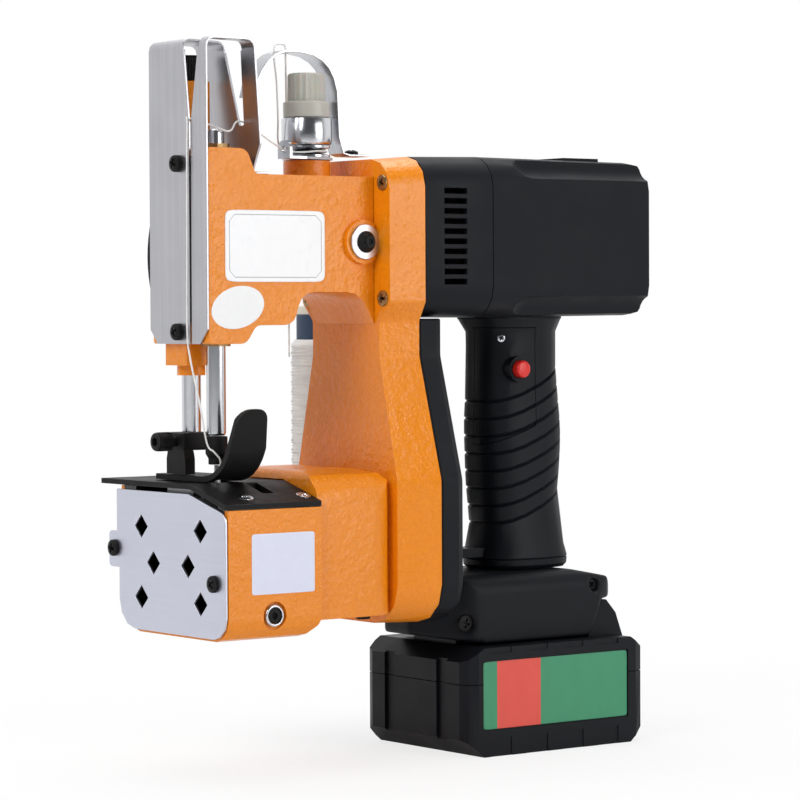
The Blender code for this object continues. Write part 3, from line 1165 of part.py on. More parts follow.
def make_spool(pivot):
    x, y = SPOOL_X, SPOOL_Y
    base = SHELF_TOP + GAP
    core, bore = SPOOL_CORE_RADIUS, SPOOL_CORE_RADIUS - SPOOL_CORE_WALL
    part("spool_core", ring(bore, core, base, base + SPOOL_CORE_HEIGHT, (x, y, 0), sides=32), BLUE, pivot)
    low = base + 2.5 * MM
    high = low + PACKAGE_HEIGHT
    body = PACKAGE_RADIUS - 2 * WINDING_RADIUS - GAP
    part("thread_package", turned([
        (body - 1 * MM, high), (body, high - 1.5 * MM), (body, low + 1.5 * MM), (body - 1 * MM, low),
        (core + GAP, low), (core + GAP, high)], (x, y, 0), closed=True, sides=32), THREAD, pivot)
    wind = body + GAP + WINDING_RADIUS
    points = coil((x, y), wind, low + 2.5 * MM, high - 2.5 * MM, WINDING_TURNS, 24, WINDING_RADIUS)
    print("thread winding's least gap, m:", round(least_gap(points, 24, WINDING_RADIUS), 5))
    part("thread_winding", tube(points, WINDING_RADIUS, 1), THREAD, pivot)


def make_spool_shelf():
    """A bent steel bracket on the column's far flank with a centring post for the spool."""
    x, y = SPOOL_X, SPOOL_Y
    wall = BASE_WIDTH / 2 + GAP
    sheet = SHELF_SHEET
    top = SHELF_TOP
    bore = SPOOL_CORE_RADIUS - SPOOL_CORE_WALL
    body = part("spool_shelf", slab(outline(
        (SPLIT_X + 1 * MM, wall, 0), (x + 20 * MM, wall, 0), (x + 20 * MM, y + 20 * MM, 19 * MM),
        (x - 20 * MM, y + 20 * MM, 19 * MM), (x - 20 * MM, y - 14 * MM, 6 * MM),
        (SPLIT_X + 1 * MM, wall + 12 * MM, 4 * MM)), "z", top - sheet, top), STEEL)
    fuse(body, block(
        (SPLIT_X + 1 * MM, wall, top - 26 * MM), (BELT_CASE_REAR - 4 * MM, wall + sheet, top - 0.5 * MM)))
    fuse(body, turned([
        (0, top + 62 * MM), (3 * MM, top + 62 * MM), (4 * MM, top + 60 * MM), (4 * MM, top + 9 * MM),
        (bore - 3 * MM, top + 9 * MM), (bore - GAP, top + 6 * MM), (bore - GAP, top - 1 * MM), (0, top - 1 * MM)],
        (x, y, 0)))


def smooth(points, steps=2):
    """Catmull-Rom curve through the points, read at equal steps."""
    knots = [Vector(p) for p in points]
    knots = [2 * knots[0] - knots[1], *knots, 2 * knots[-1] - knots[-2]]
    read = []
    for a, b, c, d in zip(knots, knots[1:], knots[2:], knots[3:]):
        for step in range(steps):
            t = step / steps
            bend = (c - a) * t + (2 * a - 5 * b + 4 * c - d) * t ** 2 + (3 * b - a - 3 * c + d) * t ** 3
            read.append(b + bend / 2)
    return [*read, knots[-2]]


def thread_route():
    """From the spool through the guide, round the tension discs, through the cover to the needle."""
    rising, falling = guide_holes()
    hole = Vector((rising + 0.2 * MM, 0.4 * MM, GUIDE_CROWN - 2.5 * MM))
    off = PACKAGE_RADIUS + THREAD_RADIUS + 0.5 * MM
    axis = Vector((SPOOL_X, SPOOL_Y, SHELF_TOP + PACKAGE_HEIGHT - 5 * MM))
    away = Vector((hole.x - axis.x, hole.y - axis.y, 0)).normalized()
    start = axis + Vector((away.y, -away.x, 0)) * off
    route = [start.lerp(hole, share) for share in (0, 0.3, 0.6, 0.85, 0.96, 1)]
    x, level = TENSION_X, thread_level()
    above = GUIDE_CROWN + 2.7 * MM
    route += [(rising - 0.3 * MM, 0, above), ((rising + falling) / 2, 0, above + 0.8 * MM)]
    route += [(falling + 0.3 * MM, 0, above), (falling, 0, GUIDE_CROWN - 2.5 * MM)]
    route += [(x - 14.6 * MM, 1 * MM, GUIDE_CROWN - 12.5 * MM), (x - 12.6 * MM, 3 * MM, level + 14 * MM)]
    route += [(x - 12 * MM, 4 * MM, level + 5 * MM), (x - 9.6 * MM, 4.8 * MM, level + 0.4 * MM)]
    for degrees in (115, 75, 35, -5, -45, -85):
        turn = math.radians(degrees)
        route.append((x + 8.5 * MM * math.cos(turn), 8.5 * MM * math.sin(turn), level))
    route.append((x - EYELET_REACH + 0.6 * MM, -9 * MM, level))
    back = HEAD_FRONT + COVER_LENGTH - 3 * MM
    front = HEAD_FRONT - GAP - COVER_SHEET
    slot = COVER_TOP - 34 * MM
    route += [(back, NEEDLE_Y - 0.4 * MM, slot), (BAR_X + 5 * MM, NEEDLE_Y - 4.5 * MM, slot - 4 * MM)]
    route += [(BAR_X, NEEDLE_Y - 6 * MM, slot - 4 * MM)]
    route += [(front + 0.5 * MM, NEEDLE_Y, slot + 0.5 * MM)]
    route += [(front - 1 * MM, NEEDLE_Y + 0.2 * MM, slot - 5 * MM)]
    route += [(front - 0.9 * MM, NEEDLE_Y + 1 * MM, ARM_TOP - 30 * MM)]
    route += [(front - 0.9 * MM, NEEDLE_Y + 1.3 * MM, HEAD_BOTTOM + 6 * MM)]
    route += [(front + 0.2 * MM, NEEDLE_Y + 0.9 * MM, HEAD_BOTTOM - 6 * MM)]
    drop = CHUCK_BOTTOM
    route += [(BAR_X - 8 * MM, NEEDLE_Y + 0.5 * MM, drop + 26 * MM)]
    route += [(BAR_X - 5.5 * MM, NEEDLE_Y - 1.2 * MM, drop + 9 * MM)]
    route += [(BAR_X - 3.9 * MM, NEEDLE_Y - 4 * MM, drop + 5.4 * MM)]
    route += [(BAR_X - 1.3 * MM, NEEDLE_Y - 4.7 * MM, drop + 1.9 * MM)]
    route += [(BAR_X - 0.4 * MM, NEEDLE_Y - 2.8 * MM, drop - 3.5 * MM)]
    route += [(BAR_X, NEEDLE_Y - 2 * MM, drop - 8 * MM), (BAR_X, NEEDLE_Y - 2 * MM, drop - 21 * MM)]
    return route


def make_thread():
    part("sewing_thread", tube(smooth(thread_route()), THREAD_RADIUS, 1), THREAD)


# Motor end, grip and battery

def motor_section(x, grow, corner=None):
    half = MOTOR_WIDTH / 2 + grow
    low, high = MOTOR_BOTTOM - grow, COLUMN_TOP + grow
    corner = corner or MOTOR_CORNER + grow
    return [(x, y, z) for y, z in outline(
        (half, high, corner), (half, low, corner), (-half, low, corner), (-half, high, corner), steps=4)]


def make_front_housing():
    body = part("motor_front_housing", loft([
        motor_section(SPLIT_X + GAP / 2, 0), motor_section(MOTOR_SEAM_X - GAP / 2, MOTOR_SWELL)]), BLACK)
    wall = -PLASTIC_WALL
    cut(body, loft([
        motor_section(SPLIT_X - 2 * MM, wall), motor_section(MOTOR_SEAM_X + 2 * MM, wall + MOTOR_SWELL)]))
    cut(body, block(
        (SPLIT_X - 1 * MM, -19 * MM, MOTOR_BOTTOM - 3 * MM),
        (BELT_CASE_REAR - PLASTIC_WALL, 19 * MM, MOTOR_BOTTOM + 8 * MM)))
    vent_x = SPLIT_X + 10 * MM
    span = (VENT_COUNT - 1) * VENT_PITCH
    reach = MOTOR_WIDTH / 2 + 5 * MM
    for vent in range(VENT_COUNT):
        z = MOTOR_Z - span / 2 + vent * VENT_PITCH
        half = VENT_HEIGHT / 2
        cut(body, block((vent_x, -reach, z - half), (vent_x + VENT_LENGTH, reach, z + half)))


def make_rear_housing():
    """The motor's rear shell: channels along its four corners lead to the screws at their front ends."""
    rear = MOTOR_REAR_X
    body = part("motor_rear_housing", loft([
        motor_section(MOTOR_SEAM_X + GAP / 2, MOTOR_SWELL), motor_section(rear - 6 * MM, 0.2 * MM),
        motor_section(rear - 1 * MM, -0.4 * MM), motor_section(rear, -1.6 * MM)]), BLACK)
    wall = -PLASTIC_WALL
    inner = MOTOR_CORNER + 9 * MM
    cut(body, loft([
        motor_section(MOTOR_SEAM_X - 2 * MM, wall + MOTOR_SWELL, inner),
        motor_section(rear - 15 * MM, wall, inner), motor_section(rear - 9 * MM, wall - 2 * MM, inner)]))
    start, reach = CHANNEL_START, CHANNEL_RADIUS
    for side in (-1, 1):
        for z in (MOTOR_BOTTOM, COLUMN_TOP):
            cut(body, turned([
                (0, rear + 3 * MM), (reach, rear + 3 * MM), (reach, start), (0.9 * reach, start - 4 * MM),
                (0.6 * reach, start - 8 * MM), (0, start - 10 * MM)],
                (0, side * MOTOR_WIDTH / 2, z), "x", sides=24))
    top = COLUMN_TOP + MOTOR_SWELL + 0.9 * MM
    fuse(body, block((rear - 39 * MM, -19 * MM, top - 3 * MM), (rear - 19 * MM, 19 * MM, top)))
    tail = MOTOR_REAR_X - 9 * MM
    bore = MOTOR_SHAFT_RADIUS + GAP
    fuse(body, ring(bore, bore + 5 * MM, tail - 5.5 * MM, rear - 5 * MM, (0, 0, MOTOR_Z), "x"))


def make_belt_case():
    def section(x, inset):
        half = [c for c in column_half(inset, False)[2:]]
        top = GRIP_TOP
        corners = [(half[0][0], top, 0), *half[1:]]
        return [(x, y, z) for y, z in outline(*mirrored(*corners))]

    rear = BELT_CASE_REAR
    body = part("belt_case", loft([
        section(SPLIT_X + GAP / 2, 0), section(rear - 5 * MM, 0), section(rear - 1.5 * MM, 1.6 * MM),
        section(rear, 5 * MM)]), BLACK)
    wall = PLASTIC_WALL
    inner = rear - wall
    cut(body, loft([section(SPLIT_X - 2 * MM, wall), section(inner - 3 * MM, wall), section(inner, 5.5 * MM)]))
    cut(body, block(
        (SPLIT_X - 1 * MM, -19 * MM, MOTOR_BOTTOM - 12 * MM), (rear - wall, 19 * MM, MOTOR_BOTTOM + 2 * MM)))


# Height share, size share and shift towards the motor end, read along the grip from flange to top
GRIP_FORM = np.array((
    (0.0, 1.016, 1.6), (0.015, 1.09, 1.6), (0.05, 1.10, 1.6), (0.10, 1.026, 1.3), (0.17, 0.925, 0.6),
    (0.26, 0.935, 0.7), (0.33, 0.965, 0.75), (0.40, 0.992, 0.6), (0.47, 1.005, 0.5), (0.54, 1.003, 0.2),
    (0.60, 0.993, -0.3), (0.67, 0.979, -0.7), (0.74, 0.955, -0.8), (0.82, 0.94, -0.4), (0.945, 0.944, -0.5),
    (1.0, 1.09, -1.2)))


def grip_section(z, inset, rise=0.0):
    """A superellipse |x/a|^n + |y/b|^n = 1, level at the front and bent up by the rise at the rear."""
    height = (z + rise / 2 - GRIP_BASE) / (GRIP_TOP - GRIP_BASE)
    size = np.interp(height, GRIP_FORM[:, 0], GRIP_FORM[:, 1])
    shift = np.interp(height, GRIP_FORM[:, 0], GRIP_FORM[:, 2]) * MM
    length, width = GRIP_LENGTH * size / 2 - inset, GRIP_WIDTH * size / 2 - inset
    count = 20
    points = []
    for i in range(count):
        turn = 2 * math.pi * (i + 0.5) / count
        c, s = math.cos(turn), math.sin(turn)
        x = length * math.copysign(abs(c) ** (2 / GRIP_POWER), c)
        y = width * math.copysign(abs(s) ** (2 / GRIP_POWER), s)
        lift = rise * ((x / length + 1) / 2) ** 1.6
        points.append((GRIP_X + shift + x, y, z + lift))
    return points


def grooves():
    """Front heights of the grip's grooves, as many as fit above its lower neck."""
    first, last = GRIP_TOP - GROOVE_DROP, GRIP_BASE + 19 * MM
    fit = min(GROOVE_COUNT, int((first - last) / GROOVE_PITCH) + 1)
    return [first - groove * GROOVE_PITCH for groove in range(fit)]


def grip_skin():
    """The grip's outside: a grooved flange, a slim neck, rising V grooves and a flared top."""
    flange = GRIP_BASE + FLANGE_HEIGHT
    fine = GROOVE_DEPTH / 2
    rings = [
        grip_section(GRIP_BASE, 0), grip_section(GRIP_BASE + 1.6 * MM, 0), grip_section(flange - fine, 0),
        grip_section(flange, fine), grip_section(flange + fine, 0), grip_section(GRIP_BASE + 10.5 * MM, 0)]
    for z in reversed(grooves()):
        rings.append(grip_section(z - GROOVE_DEPTH, 0, GROOVE_RISE))
        rings.append(grip_section(z, GROOVE_DEPTH, GROOVE_RISE))
        rings.append(grip_section(z + GROOVE_DEPTH, 0, GROOVE_RISE))
    rings += [
        grip_section(GRIP_TOP - 12 * MM, 0), grip_section(GRIP_TOP - 6 * MM, 0),
        grip_section(GRIP_TOP - 2.5 * MM, 0), grip_section(GRIP_TOP, 0)]
    return loft(rings, split=True)


def grip_hollow():
    levels = (0.0, 0.17, 0.33, 0.5, 0.74, 0.93)
    rings = [grip_section(GRIP_BASE + (GRIP_TOP - GRIP_BASE) * level, GRIP_WALL) for level in levels]
    below = [(x, y, z - 3 * MM) for x, y, z in rings[0]]
    above = [(x, y, GRIP_TOP + 3 * MM) for x, y, z in rings[-1]]
    return loft([below, *rings, above])


def switch_panel(grow):
    """Side view of the switch cover: level top, upright rear edge and a long curved foot."""
    top = GRIP_TOP - 4.5 * MM + grow
    rear = GRIP_X + 1 * MM + grow
    front = GRIP_X - GRIP_LENGTH
    low = top - 43 * MM - 2 * grow
    return outline((front, top, 0), (rear, top, 0), (rear, low, 2 * MM), (front, low - 16 * MM, 0))


def make_grip(button_pivot):
    body = part("grip", grip_skin(), BLACK)
    rib = GRIP_BASE + 5.6 * MM
    fuse(body, block(
        (BELT_CASE_REAR + GAP, -6 * MM, rib), (GRIP_X - GRIP_LENGTH / 2 + 4 * MM, 6 * MM, rib + 4 * MM)))
    cut(body, grip_hollow())
    cut(body, slab(switch_panel(GAP), "y", -GRIP_WIDTH, GAP))
    cover = part("switch_cover", grip_skin(), BLACK)
    cut(cover, grip_hollow())
    keep(cover, slab(switch_panel(0), "y", -GRIP_WIDTH, 0))
    button_x, button_z = GRIP_X - 9.5 * MM, GRIP_TOP - 22.5 * MM
    skin = -GRIP_WIDTH / 2
    fuse(cover, rod(
        (button_x, skin - 1.4 * MM, button_z), (button_x, skin + 4.5 * MM, button_z), BUTTON_RADIUS + 1.9 * MM))
    cut(cover, rod(
        (button_x, skin - 4 * MM, button_z), (button_x, skin + 6 * MM, button_z), BUTTON_RADIUS + SLIDE))
    button = part("run_button", rod(
        (button_x, skin - 5 * MM, button_z), (button_x, skin + 4 * MM, button_z), BUTTON_RADIUS),
        RED, button_pivot)
    round_edges(button, 0.8 * MM, 2)
    switch = skin + 4 * MM + BUTTON_TRAVEL + GAP
    part("run_switch", block(
        (button_x - 4.4 * MM, switch, button_z - 12 * MM),
        (button_x + 12 * MM, 6 * MM, button_z + 10 * MM)), WHITE)


def make_foot():
    """A boat-shaped base: side, plan and end outlines trim one body, with a slot for the battery."""
    bow = BELT_CASE_REAR - 5.5 * MM
    deck = BELT_CASE_REAR + GAP
    bottom, top = FOOT_BOTTOM, FOOT_TOP
    rear, heel = FOOT_REAR, FOOT_REAR - FOOT_HEEL
    sill = bottom + HUMP_HEIGHT
    body = part("battery_foot", slab(outline(
        (bow, bottom + 4.5 * MM, 0), (bow, COLUMN_BOTTOM - GAP, 0), (deck, COLUMN_BOTTOM - GAP, 0),
        (deck, top, 0), (rear - 24 * MM, top, 30 * MM), (rear, top - 5 * MM, FOOT_ROUND),
        (rear, sill, 2 * MM), (heel + FOOT_LEAN * HUMP_HEIGHT, sill, 0), (heel, bottom, 0),
        (bow + 28 * MM, bottom, 0)), "y", -FOOT_WIDTH, FOOT_WIDTH), BLACK)
    half, tip = FOOT_WIDTH / 2, FOOT_BOW_WIDTH / 2
    keep(body, slab(outline(
        (bow - 1 * MM, -tip, 2 * MM), (bow + 22 * MM, -half, 12 * MM), (rear + 1 * MM, -half, 12 * MM),
        (rear + 1 * MM, half, 12 * MM), (bow + 22 * MM, half, 12 * MM), (bow - 1 * MM, tip, 2 * MM)),
        "z", bottom - 1 * MM, top + 5 * MM))
    side, crown = half + 0.2 * MM, top + 0.2 * MM
    keep(body, slab(outline(
        (-side, bottom - 1 * MM, 0), (side, bottom - 1 * MM, 0), (side, crown, FOOT_ROUND),
        (-side, crown, FOOT_ROUND), steps=4), "x", bow - 2 * MM, rear + 2 * MM))
    slot = TONGUE_WIDTH / 2 + SLIDE
    cut(body, block(
        (BATTERY_FRONT + 10 * MM, -slot, bottom - 2 * MM), (rear + 12 * MM, slot, bottom + TONGUE_HEIGHT + GAP)))
    screws = ((bow + 18.5 * MM, bottom + 9.4 * MM, 3.9 * MM), (rear - 13.5 * MM, top - 7.6 * MM, 2.9 * MM))
    for x, z, radius in screws:
        cut(body, rod((x, -half - 2 * MM, z), (x, -half + 4 * MM, z), radius))


def battery_body(inset, low, high):
    """A box with rounded upright corners and chamfered ends, between two heights."""
    x, y = BATTERY_LENGTH / 2 - inset, BATTERY_WIDTH / 2 - inset
    c = BATTERY_CORNER
    body = sketch(slab(outline((x, y, c), (-x, y, c), (-x, -y, c), (x, -y, c), steps=2), "z", low, high))
    bottom, top = inset, BATTERY_TOP - inset
    toe, foot = inset_corner(BATTERY_CHAMFER, 0.85 * BATTERY_CHAMFER, inset)
    brow, head = inset_corner(BATTERY_CHAMFER, 0.65 * BATTERY_CHAMFER, inset)
    keep(body, slab([
        (x - toe, bottom), (x, bottom + foot), (x, top - head), (x - brow, top),
        (brow - x, top), (-x, top - head), (-x, bottom + foot), (toe - x, bottom)],
        "y", -y - 1 * MM, y + 1 * MM))
    return evaluated(body)


def inset_corner(run, drop, inset):
    """A chamfer's run and drop after both faces and the chamfer itself have moved in by the inset."""
    spare = inset * (run + drop - math.hypot(run, drop))
    return run - spare / drop, drop - spare / run


def battery_relief(case):
    """Shallow work on the case: the label's recess, the rim's tabs and upright channels in the front end."""
    face = -BATTERY_WIDTH / 2
    centre = 26.5 * MM
    cut(case, block(
        (-LABEL_LENGTH / 2 - 1 * MM, face - 1 * MM, centre - LABEL_HEIGHT / 2),
        (LABEL_LENGTH / 2 - 1 * MM, face + LABEL_DEPTH, centre + LABEL_HEIGHT / 2)))
    for tab in range(4):
        x = (tab - 1.5) * RIM_TAB_PITCH - 2 * MM
        for low, high in ((-1 * MM, 8 * MM), (BATTERY_TOP - 2.4 * MM, BATTERY_TOP + 1 * MM)):
            cut(case, block(
                (x - RIM_TAB_WIDTH / 2, face - 1 * MM, low), (x + RIM_TAB_WIDTH / 2, face + 0.4 * MM, high)))
    for side in (-1, 1):
        y = side * 0.25 * BATTERY_WIDTH
        cut(case, block(
            (BATTERY_FRONT - 1 * MM, y - 3.5 * MM, -1 * MM),
            (BATTERY_FRONT + 1.3 * MM, y + 3.5 * MM, BATTERY_TOP + 1 * MM)))


def make_battery(pivot, latch_pivot):
    seam = BATTERY_SEAM
    wall = BATTERY_WALL
    tub = part("battery_lower_case", battery_body(0, 0, seam - GAP / 2), BLACK, pivot)
    round_edges(tub, 1.2 * MM, 1, 60)
    cut(tub, battery_body(wall, wall, seam + 2 * MM))
    lid = part("battery_upper_case", battery_body(0, seam + GAP / 2, BATTERY_TOP), BLACK, pivot)
    slot_front = BATTERY_FRONT + 11 * MM
    tongue = TONGUE_WIDTH / 2
    heel = FOOT_REAR - FOOT_HEEL
    fuse(lid, block(
        (slot_front, -tongue, BATTERY_TOP - 1 * MM), (heel - 3 * MM, tongue, FOOT_BOTTOM + TONGUE_HEIGHT)))
    start, crest = heel + 2 * GAP, HUMP_HEIGHT
    brow = start + FOOT_LEAN * crest
    fuse(lid, slab([
        (start - FOOT_LEAN * MM, BATTERY_TOP - 1 * MM), (BATTERY_REAR - 3 * MM, BATTERY_TOP - 3 * MM),
        (BATTERY_REAR - 4.5 * MM, BATTERY_TOP + 1 * MM), (brow + 8 * MM, BATTERY_TOP + 0.62 * crest),
        (brow + 2.5 * MM, BATTERY_TOP + crest), (brow, BATTERY_TOP + crest)],
        "y", 2 * MM - FOOT_WIDTH / 2, FOOT_WIDTH / 2 - 2 * MM))
    cut(lid, battery_body(wall, seam - 2 * MM, BATTERY_TOP - wall))
    for case in (tub, lid):
        battery_relief(case)
    latch_low, latch_high = BATTERY_TOP - 13 * MM, BATTERY_TOP - 7.5 * MM
    latch = 9 * MM
    cut(lid, block(
        (BATTERY_REAR - 6 * MM, -latch - SLIDE, latch_low - SLIDE),
        (BATTERY_REAR + 3 * MM, latch + SLIDE, latch_high + SLIDE)))
    part("battery_latch", block(
        (BATTERY_REAR - wall + 0.4 * MM, -latch, latch_low),
        (BATTERY_REAR + LATCH_TRAVEL + 0.4 * MM, latch, latch_high)), BLACK, latch_pivot)
    make_cells(pivot)


def make_cells(pivot):
    """Welded pack: two layers of round cells side by side, as many as the case is long."""
    room = BATTERY_LENGTH - 2 * BATTERY_WALL - 2 * GAP
    count = int((room - 2 * CELL_RADIUS) // CELL_PITCH) + 1
    half = CELL_LENGTH / 2
    first = -(count - 1) * CELL_PITCH / 2
    low = BATTERY_WALL + GAP + CELL_RADIUS
    levels = (low, low + CELL_PITCH)
    pack = part("cell_pack", rod(
        (first, -half, low), (first, half, low), CELL_RADIUS, sides=HIDDEN_SIDES), CELLS, pivot)
    for layer in levels:
        for i in range(count):
            if layer == low and i == 0:
                continue
            x = first + i * CELL_PITCH
            fuse(pack, rod((x, -half, layer), (x, half, layer), CELL_RADIUS, sides=HIDDEN_SIDES))


def main():
    clear_scene()
    bar = pivot_at("needle_bar_axis", (BAR_X, NEEDLE_Y, BAR_BOTTOM))
    presser = pivot_at("presser_axis", (BAR_X, PRESSER_Y, PLATE_TOP))
    adjuster = pivot_at("adjusting_screw_axis", (BAR_X, PRESSER_Y, HEAD_TOP))
    lever = pivot_at("lever_axis", (PIVOT_X, 0, PIVOT_Z))
    link = pivot_at("connecting_rod_axis", (TAIL_X, 0, TAIL_Z))
    motor = pivot_at("motor_axis", (PULLEY_X, 0, MOTOR_Z))
    shaft = pivot_at("shaft_axis", (PULLEY_X, 0, SHAFT_Z))
    feed = pivot_at("feed_axis", (BAR_X, 0, PLATE_UNDER))
    hook = pivot_at("looper_axis", looper_axis())
    tension = pivot_at("tension_axis", (TENSION_X, 0, TENSION_BASE))
    spool = pivot_at("spool_axis", (SPOOL_X, SPOOL_Y, SHELF_TOP))
    button = pivot_at("button_axis", (GRIP_X, -GRIP_WIDTH / 2, GRIP_TOP))
    battery = pivot_at("battery_axis", (0, 0, BATTERY_TOP))
    latch = pivot_at("latch_axis", (BATTERY_REAR, 0, BATTERY_TOP))
    make_column()
    make_upper_arm()
    make_face_cover()
    make_side_cover()
    make_looper_housing()
    make_throat_plate()
    make_looper_cover()
    make_belt_case()
    make_front_housing()
    make_rear_housing()
    make_motor(motor)
    make_drive_shaft(shaft)
    make_belt()
    make_connecting_rod(link)
    make_needle_lever(lever)
    make_needle_bar(bar)
    make_presser(presser, adjuster)
    make_feed(feed)
    make_looper(hook)
    make_tension(tension)
    make_thread_guide()
    make_spool(spool)
    make_spool_shelf()
    make_thread()
    make_grip(button)
    make_foot()
    make_battery(battery, latch)


main()
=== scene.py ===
import json
import math

import bmesh
import bpy
import numpy as np
from mathutils import Matrix, Vector


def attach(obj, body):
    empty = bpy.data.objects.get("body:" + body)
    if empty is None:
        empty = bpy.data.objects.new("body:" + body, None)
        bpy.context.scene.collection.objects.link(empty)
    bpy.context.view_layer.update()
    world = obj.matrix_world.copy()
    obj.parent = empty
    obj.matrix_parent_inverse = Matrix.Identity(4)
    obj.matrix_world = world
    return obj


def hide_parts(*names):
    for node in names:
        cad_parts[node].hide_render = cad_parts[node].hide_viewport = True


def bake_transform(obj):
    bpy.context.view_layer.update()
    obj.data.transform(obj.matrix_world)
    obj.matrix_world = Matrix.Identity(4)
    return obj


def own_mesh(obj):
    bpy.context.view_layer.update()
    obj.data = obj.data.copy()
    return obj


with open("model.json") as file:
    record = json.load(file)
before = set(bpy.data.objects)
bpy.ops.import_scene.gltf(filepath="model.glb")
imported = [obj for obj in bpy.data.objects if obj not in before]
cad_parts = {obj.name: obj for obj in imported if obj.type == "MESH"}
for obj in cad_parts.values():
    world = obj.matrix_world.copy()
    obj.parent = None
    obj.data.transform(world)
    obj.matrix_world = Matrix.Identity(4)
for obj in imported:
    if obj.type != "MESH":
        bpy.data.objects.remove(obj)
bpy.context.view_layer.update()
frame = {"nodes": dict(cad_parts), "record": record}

MM = 0.001
X_AXIS, Y_AXIS, Z_AXIS = (1, 0, 0), (0, 1, 0), (0, 0, 1)

# Places that the CAD gives, in millimetres
BAR_X, NEEDLE_Y, PRESSER_Y = -160.0, -9.35, 9.35
TENSION_X = -107.0
PIVOT_X, PIVOT_Z = -93.6, 221.4
SPOOL_X, SPOOL_Y = -32.0, 73.9
ARM_FLANK, BOX_FLANK, LABEL_FACE = -21.0, -39.5, -36.9
COVER_FACE, LOOPER_FACE, FLANGE_FACE = -172.3, -176.0, -87.0

# The nameplate on the arm's flank: its centre along X and Z, and half its width and height
PLATE_CENTRE, PLATE_HALF = (-138.0, 219.3), (25.0, 14.8)

# The levels between which the card tube turns from blue to its cream rim
RIM_LEVELS = 190.6, 191.2

# Where most of a noise's values lie
NOISE_SPAN = 0.3, 0.7


# Finishes

def wire(tree, kind, values=None, **settings):
    """A new node with its settings; each value is written into its socket, or linked if it is a socket."""
    node = tree.nodes.new(kind)
    for key, value in settings.items():
        setattr(node, key, value)
    for key, value in (values or {}).items():
        if isinstance(value, bpy.types.NodeSocket):
            tree.links.new(value, node.inputs[key])
        else:
            node.inputs[key].default_value = value
    return node


class Finish:
    """A Principled material, with the node chains that the finishes share, read at Object coordinates."""

    def __init__(self, name, colour, roughness, metallic=0.0, **sockets):
        self.material = bpy.data.materials.new(name)
        self.material.use_nodes = True
        self.tree = self.material.node_tree
        self.shader = self.tree.nodes["Principled BSDF"]
        values = {"base_color": (*colour, 1.0), "roughness": roughness, "metallic": metallic, **sockets}
        for key, value in values.items():
            self.shader.inputs[key.replace("_", " ").title().replace("Ior", "IOR")].default_value = value
        self.place = self.add("ShaderNodeTexCoord").outputs["Object"]
        self.normal = None

    def add(self, kind, values=None, **settings):
        """A new node in this material."""
        return wire(self.tree, kind, values, **settings)

    def axis(self, letter):
        """One coordinate of the place on the piece, in metres."""
        return self.add("ShaderNodeSeparateXYZ", {"Vector": self.place}).outputs[letter]

    def math(self, operation, first, second=0.0):
        """One Math node on two values."""
        return self.add("ShaderNodeMath", {0: first, 1: second}, operation=operation).outputs[0]

    def noise(self, size, detail=3.0, stretch=(1, 1, 1)):
        """Soft noise with lumps of this size, drawn out along the axes by stretch."""
        scale = tuple(1 / (size * s) for s in stretch)
        where = self.add("ShaderNodeMapping", {"Vector": self.place, "Scale": scale}).outputs["Vector"]
        values = {"Vector": where, "Scale": 1.0, "Detail": detail}
        return self.add("ShaderNodeTexNoise", values).outputs["Fac"]

    def spread(self, value, start, end, low=0.0, high=1.0):
        """The value carried from start and end to low and high, and held at those."""
        values = {"Value": value, "From Min": start, "From Max": end, "To Min": low, "To Max": high}
        return self.add("ShaderNodeMapRange", values).outputs["Result"]

    def edges(self, width):
        """1 on edges, where the normal rounded over this width leaves the true one, fading to 0."""
        soft = self.add("ShaderNodeBevel", {"Radius": width}, samples=4).outputs["Normal"]
        true = self.add("ShaderNodeNewGeometry").outputs["Normal"]
        dot = self.add("ShaderNodeVectorMath", {0: soft, 1: true}, operation="DOT_PRODUCT").outputs["Value"]
        return self.spread(dot, 0.985, 0.86)

    def mixed(self, share, first, second):
        """A blend from the first colour to the second by share."""
        node = self.add("ShaderNodeMix", {0: share}, data_type="RGBA")
        for index, colour in ((6, first), (7, second)):
            if isinstance(colour, bpy.types.NodeSocket):
                self.tree.links.new(colour, node.inputs[index])
            else:
                node.inputs[index].default_value = (*colour, 1.0)
        return node.outputs[2]

    def colour(self, socket):
        """The socket becomes the base colour."""
        self.tree.links.new(socket, self.shader.inputs["Base Color"])
        return self

    def tint(self, share, first, second):
        """The base colour blends from the first to the second by share."""
        return self.colour(self.mixed(share, first, second))

    def rough(self, share, low, high):
        """The roughness runs from low to high over the span of a noise."""
        self.tree.links.new(self.spread(share, *NOISE_SPAN, low, high), self.shader.inputs["Roughness"])
        return self

    def bump(self, height, depth, strength):
        """Relief of this depth and strength, on top of any that is there already."""
        values = {"Height": height, "Distance": depth, "Strength": strength}
        if self.normal is not None:
            values["Normal"] = self.normal
        self.normal = self.add("ShaderNodeBump", values).outputs["Normal"]
        self.tree.links.new(self.normal, self.shader.inputs["Normal"])
        return self


